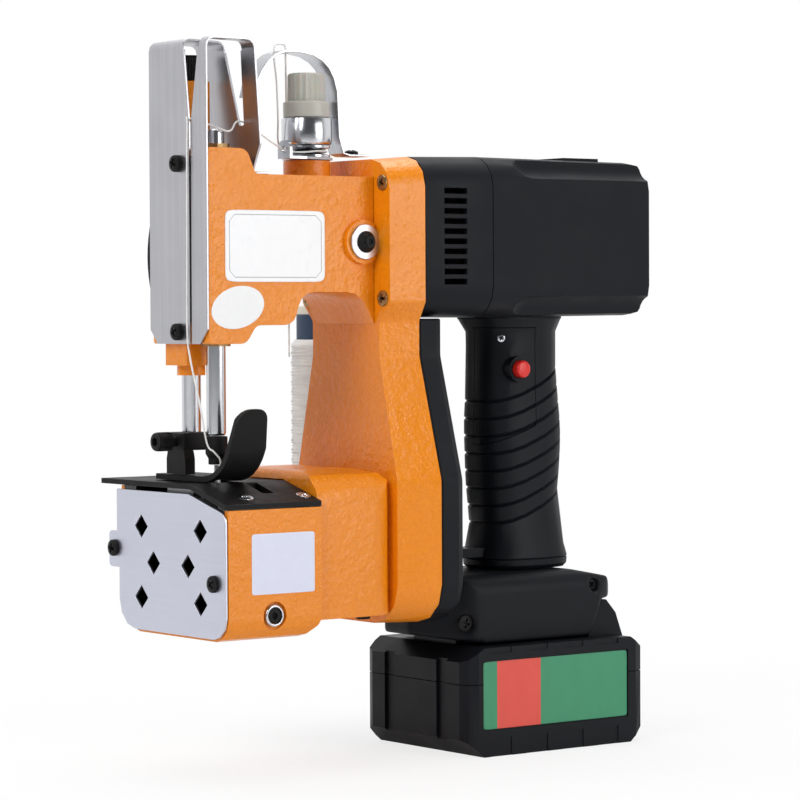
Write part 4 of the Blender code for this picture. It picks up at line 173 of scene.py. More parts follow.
def orange_paint(name="orange_paint", chamber=None):
    """Thick glossy paint over a sand casting: slow swells, pebbles of a millimetre and a few grains.

    Inside the chamber, a box of low and high corners in millimetres, shade is painted: the casting is
    coloured near black, its floor by facing up, and its walls from where they leave the rounded corners.
    """
    paint = Finish(name, (0.79, 0.235, 0.002), 0.32)
    swells, pebbles = paint.noise(3.4 * MM, 2.0), paint.noise(1.2 * MM, 3.0)
    grains = paint.spread(paint.noise(2.4 * MM, 1.0), 0.66, 0.74)
    tone = paint.mixed(pebbles, (0.70, 0.195, 0.001), (0.88, 0.275, 0.003))
    if chamber:
        inside = 1.0
        for letter, low, high in zip("XYZ", *chamber):
            where = paint.axis(letter)
            above = paint.spread(where, (low - 0.1) * MM, (low + 0.1) * MM)
            below = paint.spread(where, (high + 0.1) * MM, (high - 0.1) * MM)
            inside = paint.math("MULTIPLY", paint.math("MULTIPLY", above, below), inside)
        normal = paint.add("ShaderNodeNewGeometry").outputs["Normal"]
        floor = paint.spread(paint.add("ShaderNodeSeparateXYZ", {0: normal}).outputs["Z"], 0.2, 0.4)
        walls = paint.spread(paint.axis("Z"), (chamber[0][2] + 4.2) * MM, (chamber[0][2] + 4.4) * MM)
        inside = paint.math("MULTIPLY", inside, paint.math("MAXIMUM", walls, floor))
        # Painted shade: the chamber's inside is coloured near black
        tone = paint.mixed(inside, tone, (0.012, 0.011, 0.010))
    paint.colour(tone)
    paint.rough(paint.noise(26 * MM, 2.0), 0.27, 0.38)
    paint.bump(swells, 0.9 * MM, 0.5).bump(pebbles, 0.3 * MM, 0.5).bump(grains, 0.3 * MM, 0.4)
    return paint.material


def black_plastic(name="black_plastic", grain=0.5, rough=(0.46, 0.6), level=0.16):
    """Spark-textured moulding: an even fine grain, slightly polished in patches by handling."""
    shell = Finish(name, (0.0055, 0.0062, 0.0085), 0.5, specular_ior_level=level)
    fine, patches = shell.noise(grain * MM, 2.0), shell.noise(24 * MM, 3.0)
    shell.tint(patches, (0.0045, 0.0052, 0.0073), (0.0068, 0.0077, 0.0105))
    shell.rough(patches, *rough)
    shell.bump(fine, 0.07 * MM, 0.55)
    return shell.material


def satin_sheet(name, colour, lines, rough, print_depth=0.12):
    """Rolled bright sheet: fine brush lines, drawn out along the axes by lines, with a few cloudy prints."""
    sheet = Finish(name, colour, 0.3, 1.0)
    brushed, streaks = sheet.noise(0.35 * MM, 3.0, lines), sheet.noise(1.6 * MM, 4.0, lines)
    clouds = sheet.math("MULTIPLY", sheet.noise(18 * MM, 3.0), 0.4)
    share = sheet.math("ADD", sheet.math("MULTIPLY", streaks, 0.6), clouds)
    sheet.tint(sheet.spread(share, 0.35, 0.65), tuple((1 - print_depth) * c for c in colour), colour)
    sheet.rough(sheet.math("MULTIPLY_ADD", brushed, 0.6), *rough)
    sheet.bump(brushed, 0.02 * MM, 0.25)
    return sheet.material


def ground_steel(name, colour, rough, lines=(1, 1, 0.25)):
    """Turned or ground steel: faint rings across the axis and a little haze."""
    steel = Finish(name, colour, 0.15, 1.0)
    rings, haze = steel.noise(0.5 * MM, 2.0, lines), steel.noise(9 * MM, 2.0)
    steel.tint(haze, tuple(0.92 * c for c in colour), colour)
    steel.rough(rings, *rough)
    steel.bump(rings, 0.01 * MM, 0.2)
    return steel.material


def blacked_steel():
    """Oil-blacked steel: near black with a dull sheen, rubbed lighter along its edges."""
    steel = Finish("blacked_steel", (0.009, 0.009, 0.0095), 0.5, specular_ior_level=0.14)
    grime, fine = steel.noise(7 * MM, 3.0), steel.noise(0.7 * MM, 2.0)
    dark = steel.mixed(grime, (0.006, 0.006, 0.0065), (0.013, 0.0125, 0.0125))
    worn = steel.math("MULTIPLY", steel.edges(0.5 * MM), steel.spread(grime, 0.42, 0.62))
    steel.colour(steel.mixed(steel.math("MULTIPLY", worn, 0.55), dark, (0.14, 0.137, 0.134)))
    steel.rough(grime, 0.42, 0.58)
    steel.bump(fine, 0.05 * MM, 0.35)
    return steel.material


def brass_screw():
    """Passivated brass-coloured screw: warm brown metal, darker in patches."""
    metal = Finish("passivated_screw", (0.36, 0.24, 0.10), 0.3, 0.9)
    patches = metal.noise(1.6 * MM, 3.0)
    metal.tint(patches, (0.20, 0.13, 0.06), (0.46, 0.33, 0.16))
    metal.rough(patches, 0.24, 0.42)
    return metal.material


def ivory_nylon():
    """Milky nylon: light goes a little way in, with faint flow marks."""
    nylon = Finish("ivory_nylon", (0.47, 0.46, 0.41), 0.36, subsurface_weight=0.3, subsurface_scale=0.002)
    flow = nylon.noise(3 * MM, 2.0, (1, 1, 4))
    nylon.tint(flow, (0.41, 0.40, 0.35), (0.53, 0.52, 0.46))
    nylon.rough(flow, 0.3, 0.42)
    nylon.bump(nylon.noise(0.6 * MM, 2.0), 0.03 * MM, 0.3)
    return nylon.material


def red_button():
    """Glossy red moulding with a fine orange-peel surface."""
    red = Finish("red_plastic", (0.68, 0.018, 0.012), 0.3, specular_ior_level=0.5)
    peel = red.noise(0.8 * MM, 2.0)
    red.tint(red.noise(5 * MM, 2.0), (0.62, 0.014, 0.010), (0.74, 0.024, 0.016))
    red.rough(peel, 0.26, 0.38)
    red.bump(peel, 0.03 * MM, 0.3)
    return red.material


def paper_tube():
    """Wound card tube: dark blue fibrous paper with a cream rolled rim."""
    paper = Finish("blue_paper", (0.012, 0.035, 0.085), 0.6)
    fibre = paper.noise(1.4 * MM, 4.0, (1, 1, 0.3))
    blue = paper.mixed(fibre, (0.008, 0.026, 0.066), (0.018, 0.048, 0.11))
    cream = paper.mixed(fibre, (0.70, 0.64, 0.52), (0.84, 0.79, 0.68))
    rim = paper.spread(paper.axis("Z"), *(level * MM for level in RIM_LEVELS))
    paper.colour(paper.mixed(rim, blue, cream))
    paper.rough(fibre, 0.5, 0.68)
    paper.bump(fibre, 0.05 * MM, 0.4)
    return paper.material


def white_thread(name, tone):
    """Spun thread: a fuzzy matt white, slightly soiled in places."""
    yarn = Finish(name, tone, 0.85, sheen_weight=0.35, sheen_roughness=0.6)
    soil, fuzz = yarn.noise(11 * MM, 4.0, (1, 1, 0.5)), yarn.noise(0.35 * MM, 3.0)
    yarn.tint(yarn.spread(soil, 0.45, 0.75), tone, tuple(0.90 * c for c in tone))
    yarn.rough(fuzz, 0.78, 0.95)
    yarn.bump(fuzz, 0.12 * MM, 0.5)
    return yarn.material


def bare_plate():
    """A blank coated nameplate with only a thin frame line inside its rim."""
    plate = Finish("nameplate_coat", (0.86, 0.86, 0.86), 0.32, coat_weight=0.3, coat_roughness=0.2)
    corner_cut, line_inset = 4.6, 1.9
    x, z = plate.axis("X"), plate.axis("Z")
    across = plate.math("ABSOLUTE", plate.math("SUBTRACT", x, PLATE_CENTRE[0] * MM))
    up = plate.math("ABSOLUTE", plate.math("SUBTRACT", z, PLATE_CENTRE[1] * MM))
    inset = plate.math("MAXIMUM", plate.math("ADD", across, (PLATE_HALF[1] - PLATE_HALF[0]) * MM), up)
    corner = plate.math("SUBTRACT", plate.math("ADD", across, up), (PLATE_HALF[0] - corner_cut) * MM)
    inset = plate.math("MAXIMUM", inset, corner)
    line = plate.math("ABSOLUTE", plate.math("SUBTRACT", inset, (PLATE_HALF[1] - line_inset) * MM))
    drawn = plate.spread(line, 0.22 * MM, 0.12 * MM)
    haze = plate.noise(9 * MM, 3.0)
    coat = plate.mixed(haze, (0.80, 0.80, 0.81), (0.90, 0.90, 0.90))
    plate.colour(plate.mixed(drawn, coat, (0.30, 0.30, 0.31)))
    plate.rough(haze, 0.26, 0.4)
    plate.bump(plate.noise(1.5 * MM, 2.0), 0.02 * MM, 0.3)
    return plate.material


def sticker_film(name, tone):
    """A plain paper-backed film sticker with slight waves from the paint under it."""
    film = Finish(name, tone, 0.4, coat_weight=0.25, coat_roughness=0.25)
    waves = film.noise(4 * MM, 2.0)
    film.tint(waves, tuple(0.93 * c for c in tone), tone)
    film.rough(waves, 0.3, 0.46)
    film.bump(waves, 0.12 * MM, 0.3)
    return film.material


def battery_film():
    """A plain two-tone label: green film with one red panel, a little creased."""
    film = Finish("battery_label", (0.03, 0.25, 0.12), 0.42)
    waves = film.noise(5 * MM, 3.0, (1, 1, 2))
    green = film.mixed(waves, (0.030, 0.235, 0.112), (0.045, 0.285, 0.140))
    red = film.mixed(waves, (0.66, 0.062, 0.040), (0.76, 0.085, 0.058))
    panel = film.math("MULTIPLY", film.spread(film.axis("X"), -34.2 * MM, -34.0 * MM),
                      film.spread(film.axis("X"), -9.8 * MM, -10.0 * MM))
    film.colour(film.mixed(panel, green, red))
    film.rough(waves, 0.34, 0.5)
    film.bump(waves, 0.08 * MM, 0.3)
    return film.material


def drive_belt_rubber():
    """Dusty black rubber."""
    rubber = Finish("belt_rubber", (0.02, 0.02, 0.02), 0.8)
    dust = rubber.noise(2 * MM, 3.0)
    rubber.tint(dust, (0.014, 0.014, 0.014), (0.035, 0.034, 0.032))
    rubber.rough(dust, 0.7, 0.9)
    rubber.bump(dust, 0.05 * MM, 0.4)
    return rubber.material


def coloured_sleeve(name, first, second, metallic=0.0):
    """A plain finish of two close tones, for pieces that lie inside."""
    sleeve = Finish(name, first, 0.45, metallic)
    patches = sleeve.noise(4 * MM, 2.0)
    sleeve.tint(patches, first, second)
    sleeve.rough(patches, 0.35, 0.55)
    return sleeve.material


PAINT = orange_paint()
SHELL = black_plastic()
SHELL_FINE = black_plastic("black_plastic_fine", 0.35, (0.36, 0.5), 0.16)
# The looper housing's paint, with painted shade inside its chamber
BOX_PAINT_AND_SHADE = orange_paint("looper_housing_paint_and_shade", ((-176, -36.9, 60.2), (-130.7, 39.1, 119.6)))
COVER_SHEET = satin_sheet("satin_cover", (0.52, 0.52, 0.55), (1, 1, 60), (0.26, 0.36))
LOOPER_SHEET = satin_sheet("zinc_cover", (0.64, 0.66, 0.75), (1, 60, 1), (0.30, 0.40), 0.04)
SPRING_SHEET = satin_sheet("bright_strip", (0.52, 0.53, 0.56), (60, 1, 60), (0.14, 0.24))
CHROME = ground_steel("chrome", (0.66, 0.67, 0.70), (0.16, 0.24))
STEEL = ground_steel("plain_steel", (0.46, 0.46, 0.48), (0.26, 0.38), (1, 1, 1))
ALLOY = ground_steel("wheel_alloy", (0.60, 0.60, 0.62), (0.3, 0.42), (1, 1, 1))
BRONZE = ground_steel("bronze", (0.50, 0.33, 0.15), (0.28, 0.4))
BLACKED = blacked_steel()
BRASS = brass_screw()
IVORY = ivory_nylon()
RED = red_button()
TUBE = paper_tube()
YARN = white_thread("package_thread", (0.88, 0.87, 0.85))
STRAND = white_thread("sewing_strand", (0.84, 0.83, 0.80))
PLATE = bare_plate()
STICKER = sticker_film("white_sticker", (0.86, 0.86, 0.86))
BLUE_STICKER = sticker_film("pale_sticker", (0.70, 0.72, 0.86))
LABEL = battery_film()
RUBBER = drive_belt_rubber()
NYLON = coloured_sleeve("white_nylon", (0.72, 0.72, 0.70), (0.82, 0.82, 0.80))
CELLS = coloured_sleeve("cell_sleeve", (0.05, 0.18, 0.13), (0.08, 0.24, 0.18))
COPPER = coloured_sleeve("winding_copper", (0.50, 0.24, 0.09), (0.62, 0.32, 0.13), 0.9)


# Surfaces: a grid of points is a function of two parameters, rows by columns

def basis(along):
    """Two unit vectors square to a direction, and the direction, as the rows of a matrix."""
    along = np.asarray(along, float) / np.linalg.norm(along)
    guide = np.array(Z_AXIS if abs(along[2]) < 0.9 else X_AXIS, float)
    across = np.cross(guide, along)
    across /= np.linalg.norm(across)
    return np.array((across, np.cross(along, across), along))


def eased(corners, reach, steps=4):
    """A profile whose inner corners are cut by quadratic arcs, from reach before to reach after each."""
    p = np.asarray(corners, float)
    back, ahead = p[:-2] - p[1:-1], p[2:] - p[1:-1]
    long_back, long_ahead = np.linalg.norm(back, axis=1), np.linalg.norm(ahead, axis=1)
    cut = np.minimum(reach, 0.45 * np.minimum(long_back, long_ahead))[:, None]
    start, end = p[1:-1] + back / long_back[:, None] * cut, p[1:-1] + ahead / long_ahead[:, None] * cut
    t = np.linspace(0, 1, steps)[None, :, None]
    arcs = (1 - t) ** 2 * start[:, None] + 2 * t * (1 - t) * p[1:-1, None] + t ** 2 * end[:, None]
    return np.vstack((p[:1], arcs.reshape(-1, 2), p[-1:]))


def lathe(profile, centre, along=Z_AXIS, sides=72, ribs=None):
    """Turned form: a profile of (radius, height) swept round an axis.

    ribs(turn, height, radius) is added to the radius.
    """
    profile = np.asarray(profile, float)
    turn = np.linspace(0, 2 * np.pi, sides, endpoint=False)[None]
    radius, height = profile[:, :1], profile[:, 1:]
    if ribs is not None:
        radius = radius + ribs(turn, height, radius)
    local = np.stack(np.broadcast_arrays(radius * np.cos(turn), radius * np.sin(turn), height), -1)
    return np.asarray(centre, float) + local @ basis(along), (False, True)


def hoop(profile, centre, along=Z_AXIS, sides=72):
    """Turned ring: a closed profile of (radius, height) swept round an axis, so both ways close."""
    points, _ = lathe(profile, centre, along, sides)
    return points, (True, True)


def helix(centre, radius, start, end, turns, per_turn=36, phase=0.0):
    """Points that climb evenly from start to end round an upright axis."""
    turn = np.linspace(0, 2 * np.pi * turns, int(turns * per_turn) + 1)
    level = start + (end - start) * turn / turn[-1]
    angle = turn + phase
    return np.stack((centre[0] + radius * np.cos(angle), centre[1] + radius * np.sin(angle), level), -1)


def swept(path, radius, sides=8, lay=0.0, plies=0):
    """A round section carried along a path; plies groove it, and lay turns them along the path."""
    ahead = np.gradient(path, axis=0)
    ahead /= np.linalg.norm(ahead, axis=1)[:, None]
    guide = np.array((0.31, 0.83, 0.47))
    across = np.cross(ahead, guide)
    across /= np.linalg.norm(across, axis=1)[:, None]
    up = np.cross(ahead, across)
    gone = np.r_[0, np.cumsum(np.linalg.norm(np.diff(path, axis=0), axis=1))][:, None]
    turn = np.linspace(0, 2 * np.pi, sides, endpoint=False)[None]
    swell = np.ones_like(gone * turn)
    if plies:
        swell = 1.0 - 0.16 * (0.5 - 0.5 * np.cos(plies * (turn - lay * gone)))
    ring = across[:, None] * np.cos(turn)[..., None] + up[:, None] * np.sin(turn)[..., None]
    return path[:, None] + radius * swell[..., None] * ring, (False, True)


def patch(centre, across, up, half, power, thick, rings=6, sides=96, tilt=0.0):
    """A thin pad: superellipse rings |u/a|^n + |v/b|^n = 1, shrunk to a pole on its face and its back."""
    turn = np.linspace(0, 2 * np.pi, sides, endpoint=False)
    c, s = np.cos(turn), np.sin(turn)
    u = half[0] * np.sign(c) * np.abs(c) ** (2 / power)
    v = half[1] * np.sign(s) * np.abs(s) ** (2 / power)
    u, v = u * np.cos(tilt) - v * np.sin(tilt), u * np.sin(tilt) + v * np.cos(tilt)
    shrink = np.r_[0, np.linspace(0.3, 1, rings), 1, 1 - 0.2 / max(half), np.linspace(0.97, 0.3, rings), 0]
    level = np.r_[0, np.zeros(rings), 0.75, np.ones(rings + 1), 1] * thick
    across, up = np.asarray(across, float), np.asarray(up, float)
    out = np.cross(across, up)
    flat = shrink[:, None, None] * (u[None, :, None] * across + v[None, :, None] * up)
    return np.asarray(centre, float) + flat + level[:, None, None] * out, (False, True)


def cross_recess(u, v):
    """Depth of a cross slot in a head of unit radius.

    The lesser of |u| and |v| gives its walls, and the greater its sloping ends.
    """
    arm = np.minimum(np.maximum(np.abs(u), np.abs(v)) / 0.62, 1.4)
    wall = np.clip((0.17 - np.minimum(np.abs(u), np.abs(v))) / 0.06, 0, 1)
    return 0.62 * wall * np.clip((1 - arm) / 0.35, 0, 1)


def hex_recess(u, v):
    """Depth of a socket in a head of unit radius: its six walls by the greatest of three distances."""
    corner = np.stack([np.abs(u * np.cos(a) + v * np.sin(a)) for a in np.radians((0, 60, 120))])
    return 0.9 * np.clip((0.47 - corner.max(0)) / 0.05, 0, 1)


def screw(centre, along, radius, height, dome, recess, spin=0.0, ribs=0):
    """A screw head: a polar grid whose height is a dome less the recess, then a skirt and a flat back."""
    rings, sides, shoulder = 26, 72, 0.9
    rows = np.r_[np.linspace(0, shoulder, rings), 0.96, 1.0, 1.0, 1.0, 0]
    turn = np.linspace(0, 2 * np.pi, sides, endpoint=False)[None]
    share = rows[:rings, None]
    u, v = share * np.cos(turn + spin), share * np.sin(turn + spin)
    top = height * (1 - dome * share ** 2) - radius * recess(u, v)
    crown = height * (1 - dome * shoulder ** 2)
    skirt = np.array((crown - 0.05 * height, crown - 0.22 * height, 0.3 * height, 0.0, 0.0))[:, None]
    level = np.vstack((top, np.broadcast_to(skirt, (len(skirt), sides))))
    knurl = 1 - 0.05 * (rows[:, None] > 0.95) * (0.5 - 0.5 * np.cos(ribs * turn)) if ribs else 1.0
    reach = radius * rows[:, None] * knurl
    local = np.stack(np.broadcast_arrays(reach * np.cos(turn), reach * np.sin(turn), level), -1)
    return np.asarray(centre, float) + local @ basis(along), (False, True)


# Pieces

def link(obj, body, nodes):
    """The piece rides on its body; where body is two bodies and a run, these are not used and its place is
    baked into its mesh.
    """
    bpy.context.scene.collection.objects.link(obj)
    if isinstance(body, str):
        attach(obj, body)
    else:
        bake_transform(obj)
    if nodes:
        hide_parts(*nodes)
    return obj


def piece(name, grids, material, body, nodes=(), sharp=40):
    """One object from grids of points in millimetres; quads join each point to its next both ways."""
    points, faces, base = [], [], 0
    for grid, (wrap_rows, wrap_columns) in grids:
        rows, columns = grid.shape[:2]
        i = np.arange(rows if wrap_rows else rows - 1)[:, None]
        j = np.arange(columns if wrap_columns else columns - 1)[None]
        i2, j2 = (i + 1) % rows, (j + 1) % columns
        corners = (i * columns + j, i * columns + j2, i2 * columns + j2, i2 * columns + j)
        quads = np.stack(np.broadcast_arrays(*corners), -1)
        points.append(grid.reshape(-1, 3) * MM)
        faces.append(quads.reshape(-1, 4) + base)
        base += rows * columns
    mesh = bpy.data.meshes.new(name)
    mesh.from_pydata(np.vstack(points), [], np.vstack(faces).tolist())
    work = bmesh.new()
    work.from_mesh(mesh)
    bmesh.ops.remove_doubles(work, verts=work.verts, dist=1e-7)
    rims = [edge for edge in work.edges if edge.is_boundary]
    if rims:
        bmesh.ops.holes_fill(work, edges=rims)
    bmesh.ops.recalc_face_normals(work, faces=work.faces)
    work.to_mesh(mesh)
    work.free()
    mesh.shade_smooth()
    mesh.set_sharp_from_angle(angle=math.radians(sharp))
    mesh.materials.append(material)
    return link(bpy.data.objects.new(name, mesh), body, nodes)


BODY_OF = {node: body for body, nodes in frame["record"]["behaviour"]["bodies"].items() for node in nodes}


def dressed(node, material, edge, angle=38, segments=2, soft=0):
    """A merged copy of a CAD node: flats made whole, and corners above the angle eased by a bevel.

    A soft moulding is cut into cells of the edge's size instead, and its corners are averaged over that
    many rounds.
    """
    mesh = frame["nodes"][node].data.copy()
    mesh.name = node + "_finished"
    work = bmesh.new()
    work.from_mesh(mesh)
    bmesh.ops.remove_doubles(work, verts=work.verts, dist=2e-6)
    bmesh.ops.dissolve_limit(work, angle_limit=math.radians(0.6), verts=work.verts, edges=work.edges)
    work.to_mesh(mesh)
    work.free()
    if mesh.has_custom_normals:
        mesh.normals_split_custom_set([(0, 0, 0)] * len(mesh.loops))
    mesh.shade_smooth()
    mesh.set_sharp_from_angle(angle=math.radians(angle))
    mesh.materials.clear()
    mesh.materials.append(material)
    obj = bpy.data.objects.new(node + "_finished", mesh)
    if soft:
        cells = obj.modifiers.new("cells", "REMESH")
        cells.mode, cells.voxel_size, cells.use_smooth_shade = "VOXEL", edge * MM, True
        average = obj.modifiers.new("averaged", "SMOOTH")
        average.factor, average.iterations = 0.5, soft
    elif edge:
        bevel = obj.modifiers.new("eased_edges", "BEVEL")
        bevel.width = edge * MM
        bevel.segments = segments
        bevel.limit_method = "ANGLE"
        bevel.angle_limit = math.radians(angle)
        bevel.harden_normals = False
    flats = obj.modifiers.new("flat_faces", "WEIGHTED_NORMAL")
    flats.keep_sharp = True
    return link(obj, BODY_OF[node], [node])


def repaint(material, *nodes):
    """CAD nodes that are shown as they are, with one material."""
    for node in nodes:
        data = frame["nodes"][node].data
        data.materials.clear()
        data.materials.append(material)


def dress_shells():
    """Castings, mouldings and plates from the CAD's solids, and finishes for nodes shown as they are."""
    dressed("upper_arm", PAINT, 0.7)
    dressed("column_housing", PAINT, 1.0)
    dressed("looper_housing", BOX_PAINT_AND_SHADE, 0.9)
    dressed("face_cover", COVER_SHEET, 0.25)
    dressed("looper_cover_plate", LOOPER_SHEET, 0.25)
    for node, edge in {"thread_guide": 0.2, "tension_eyelet_plate": 0.2}.items():
        dressed(node, SPRING_SHEET, edge)
    coarse = {"belt_case": 0.8, "motor_front_housing": 0.9, "motor_rear_housing": 0.8, "head_side_cover": 0.6}
    fine = {"grip": 0.25, "switch_cover": 0.2, "battery_upper_case": 0.9, "battery_lower_case": 0.9,
            "battery_latch": 0.8}
    for material, shells in ((SHELL, coarse), (SHELL_FINE, fine)):
        for node, edge in shells.items():
            dressed(node, material, edge)
    dressed("battery_foot", SHELL_FINE, 0.8, soft=14)
    piece("grip_seat", [patch((3.1, 0, 188.5), X_AXIS, Y_AXIS, (23.6, 17.6), 2.7, 2.4)], SHELL_FINE,
          "machine")
    for node, edge in {"throat_plate": 0.35, "presser_sole": 0.4, "presser_foot_shank": 0.4}.items():
        dressed(node, BLACKED, edge)
    plain = {"spool_shelf": 0.3, "feed_dog": 0.1, "needle_crosshead": 0.3, "needle_lever": 0.4}
    for node, edge in plain.items():
        dressed(node, STEEL, edge)
    repaint(CHROME, "looper")
    repaint(STEEL, "motor_stator", "motor_pulley", "drive_shaft", "shaft_front_bearing", "shaft_rear_bearing",
            "connecting_rod", "feed_bar", "tension_post")
    repaint(BLACKED, "motor_end_plate")
    repaint(COPPER, "motor_armature")
    repaint(ALLOY, "shaft_pulley")
    repaint(BRONZE, "needle_bar_lower_bush", "needle_bar_upper_bush")
    repaint(RUBBER, "drive_belt")
    repaint(NYLON, "run_switch")
    repaint(CELLS, "cell_pack")
    repaint(SHELL, "cooling_fan")


def cap_knurling(turn, height, radius):
    """Straight knurling on the adjusting cap's rim: 44 cosine grooves round it, 0.34 mm deep."""
    rim = (height > 288.9) & (height < 297.6) & (radius > 7)
    return np.where(rim, -0.34 * (0.5 - 0.5 * np.cos(44 * turn)), 0)


def knob_flutes(turn, height, radius):
    """Finger flutes on the tension knob: 20 cosine grooves, 0.62 mm deep, that run out at its crown."""
    depth = 0.62 * (0.5 - 0.5 * np.cos(20 * turn)) ** 0.7 * np.clip((293.3 - height) / 1.2, 0, 1)
    return np.where((height > 281.4) & (radius > 6), -depth, 0)


def turned_pieces():
    """Bars, discs and knobs as fine turned forms with the CAD's own radii and heights."""
    needle, presser = (BAR_X, NEEDLE_Y, 0), (BAR_X, PRESSER_Y, 0)
    piece("needle_bar_ground", [lathe(eased(
        ((0, 267.5), (3.3, 267.5), (4, 266.6), (4, 142.0), (3.4, 141.1), (0, 141.1)), 0.3), needle)],
        CHROME, "needle_carriage", ["needle_bar"])
    piece("presser_bar_ground", [lathe(eased(
        ((0, 270.5), (3.2, 270.5), (4, 269.6), (4, 205.05), (5.9, 205.05), (5.9, 200.05), (4, 200.05),
         (4, 136.9), (3.4, 136.1), (0, 136.1)), 0.25), presser)],
        CHROME, "presser", ["presser_bar"])
    piece("needle_chuck_turned", [lathe(eased(
        ((0, 140.8), (4.6, 140.8), (4.6, 133.6), (3.4, 131.6), (3.4, 129.1), (0, 129.1)), 0.5), needle)],
        BLACKED, "needle_carriage", ["needle_chuck"])
    piece("needle_ground", [lathe(eased(
        ((0, 128.8), (1.1, 128.8), (1.1, 120), (0.9, 118), (0.9, 109.1), (0, 104.1)), 0.3),
        needle, sides=32)],
        CHROME, "needle_carriage", ["needle"])
    clamp_y, clamp_z = PRESSER_Y, 138.35
    piece("foot_clamp_screw_socket", [
        screw((-171.0, clamp_y, clamp_z), (-1, 0, 0), 4.0, 7.5, 0.06, hex_recess, ribs=36),
        lathe(((0, 0), (2, 0), (2, 6.9), (0, 6.9)), (-171.2, clamp_y, clamp_z), X_AXIS, 32)],
        BLACKED, "presser", ["foot_clamp_screw"])
    piece("presser_adjusting_cap", [lathe(eased(
        ((0, 298.8), (6.6, 298.8), (7.4, 297.8), (7.4, 297.5), (7.4, 289), (7.4, 288.3), (6.1, 288.3),
         (6.1, 280.5), (0, 280.5)), 0.35), presser, sides=220, ribs=cap_knurling)],
        BLACKED, "adjuster", ["presser_adjusting_screw"])
    tension = (TENSION_X, 0, 0)
    piece("tension_cup_polished", [hoop((
        (10.55, 274), (10.7, 273.8), (10.7, 263.8), (10.4, 263.0), (9.7, 262.6), (2.8, 262.6), (2.8, 263.8),
        (9.5, 263.8), (9.5, 274)), tension, sides=96)], CHROME, "machine", ["tension_cup"])
    piece("tension_discs_polished", [
        hoop(((10, 258.4), (10, 257.6), (8, 258.2), (6, 259), (2.8, 259), (2.8, 259.8), (6, 259.8),
              (8, 259.0)), tension),
        hoop(((10, 262.3), (10, 261.5), (8, 260.8), (6, 260.1), (2.8, 260.1), (2.8, 260.9), (6, 260.9),
              (8, 261.6)), tension)],
        CHROME, "machine", ["tension_lower_disc", "tension_upper_disc"])
    piece("tension_knob_moulded", [lathe(eased(
        ((0, 290.8), (2.7, 290.8), (2.7, 274.3), (9.6, 274.3), (9.9, 274.8), (9.9, 280.6), (9.5, 281.1),
         (8.1, 281.1), (8.1, 281.5), (7.95, 292.2), (7.2, 293.1), (0, 292.9)), 0.3),
        tension, sides=240, ribs=knob_flutes)],
        IVORY, "tension_dial", ["tension_knob"])
    piece("pivot_stud_socket", [
        screw((PIVOT_X, -26.7, PIVOT_Z), (0, -1, 0), 2.4, 0.9, 0.05, hex_recess),
        lathe(eased(((0, -26.8), (2.4, -26.8), (2.8, -26.6), (4.3, -25.0), (4.6, -24.6), (4.6, -24.3),
                     (4, -24.3), (4, 18.6), (3.6, 19), (0, 19)), 0.2), (PIVOT_X, 0, PIVOT_Z), Y_AXIS)],
        BLACKED, "machine", ["pivot_stud"])
    piece("stud_washer", [hoop(
        ((4.2, -24.25), (7.2, -24.25), (7.45, -24.0), (7.45, -23.35), (7.2, -23.1), (4.2, -23.1)),
        (PIVOT_X, 0, PIVOT_Z), Y_AXIS, 96)], ALLOY, "machine")
    piece("run_button_domed", [lathe(eased(
        ((0, -21.2), (2.6, -21.05), (3.5, -20.7), (3.8, -20.0), (3.8, -12.5), (3.5, -12.2), (0, -12.2)), 0.4),
        (-5.2, 0, 166.4), Y_AXIS)], RED, "button", ["run_button"])


def card_tube(spool):
    """The card tube: a closed wall profile with a rolled rim, swept round the spool's axis."""
    piece("spool_tube", [hoop((
        (21.2, 98.2), (21.5, 97.9), (23.4, 97.9), (23.7, 98.3), (23.7, 176),
        *((23.7, level) for level in RIM_LEVELS),
        (23.7, 193.2), (23.2, 194.5), (22.4, 194.9), (21.6, 194.5), (21.2, 193.6)), spool, sides=96)],
        TUBE, "spool", ["spool_core"])


def wound_package():
    """The package: a wall whose radius is ridged by two crossing sine waves and eased at its ends."""
    sides, low, high, ease = 300, 100.9, 178.9, 1.6
    wraps, rate = 3, 5.3
    inner, lip, foot, head = 24.1, 24.4, 100.4, 179.4
    turn = np.linspace(0, 2 * np.pi, sides, endpoint=False)[None]
    level = np.linspace(low, high, 170)[:, None]
    first, second = np.sin(wraps * turn + level * rate), np.sin(-wraps * turn + level * rate + 1.1)
    swell = np.clip((level - low) / ease, 0, 1) * np.clip((high - level) / ease, 0, 1)
    wall = 25.7 + 0.2 * np.maximum(first, second) * swell - 0.9 * (1 - swell)

    def rim(radius, height):
        """One level ring of the profile."""
        return np.broadcast_to(np.array((radius, height)), (1, sides, 2))

    side = np.stack(np.broadcast_arrays(wall, level), -1)
    profile = np.concatenate((rim(inner, foot), rim(lip, foot), side, rim(lip, head), rim(inner, head)))
    radius, height = profile[..., 0], profile[..., 1]
    package = np.stack((SPOOL_X + radius * np.cos(turn), SPOOL_Y + radius * np.sin(turn), height), -1)
    piece("thread_package_wound", [(package, (True, True))], YARN, "spool",
          ["thread_package"], 180)


def outer_strands(spool):
    """The package's outermost thread: helices up and down in turn, each a little wider than the last."""
    strands, ends = [], (102.4, 177.4)
    for step, phase in enumerate((0.0, 0.8, 1.6, 2.4)):
        path = helix(spool, 26.05 + 0.1 * step, *ends, turns=17, per_turn=32, phase=phase)
        strands.append(swept(path, 0.22, 6))
        ends = ends[::-1]
    piece("thread_strands", strands, STRAND, "spool", ["thread_winding"], 180)


def spring_coil():
    """The presser spring: a round wire on a helix."""
    spring = helix((BAR_X, PRESSER_Y), 5.5, 206.0, 279.55, turns=10, per_turn=40)
    coil = piece("presser_spring_coil", [swept(spring, 0.65, 12)], STEEL, "machine",
                 ["presser_spring"], 180)
    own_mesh(coil)


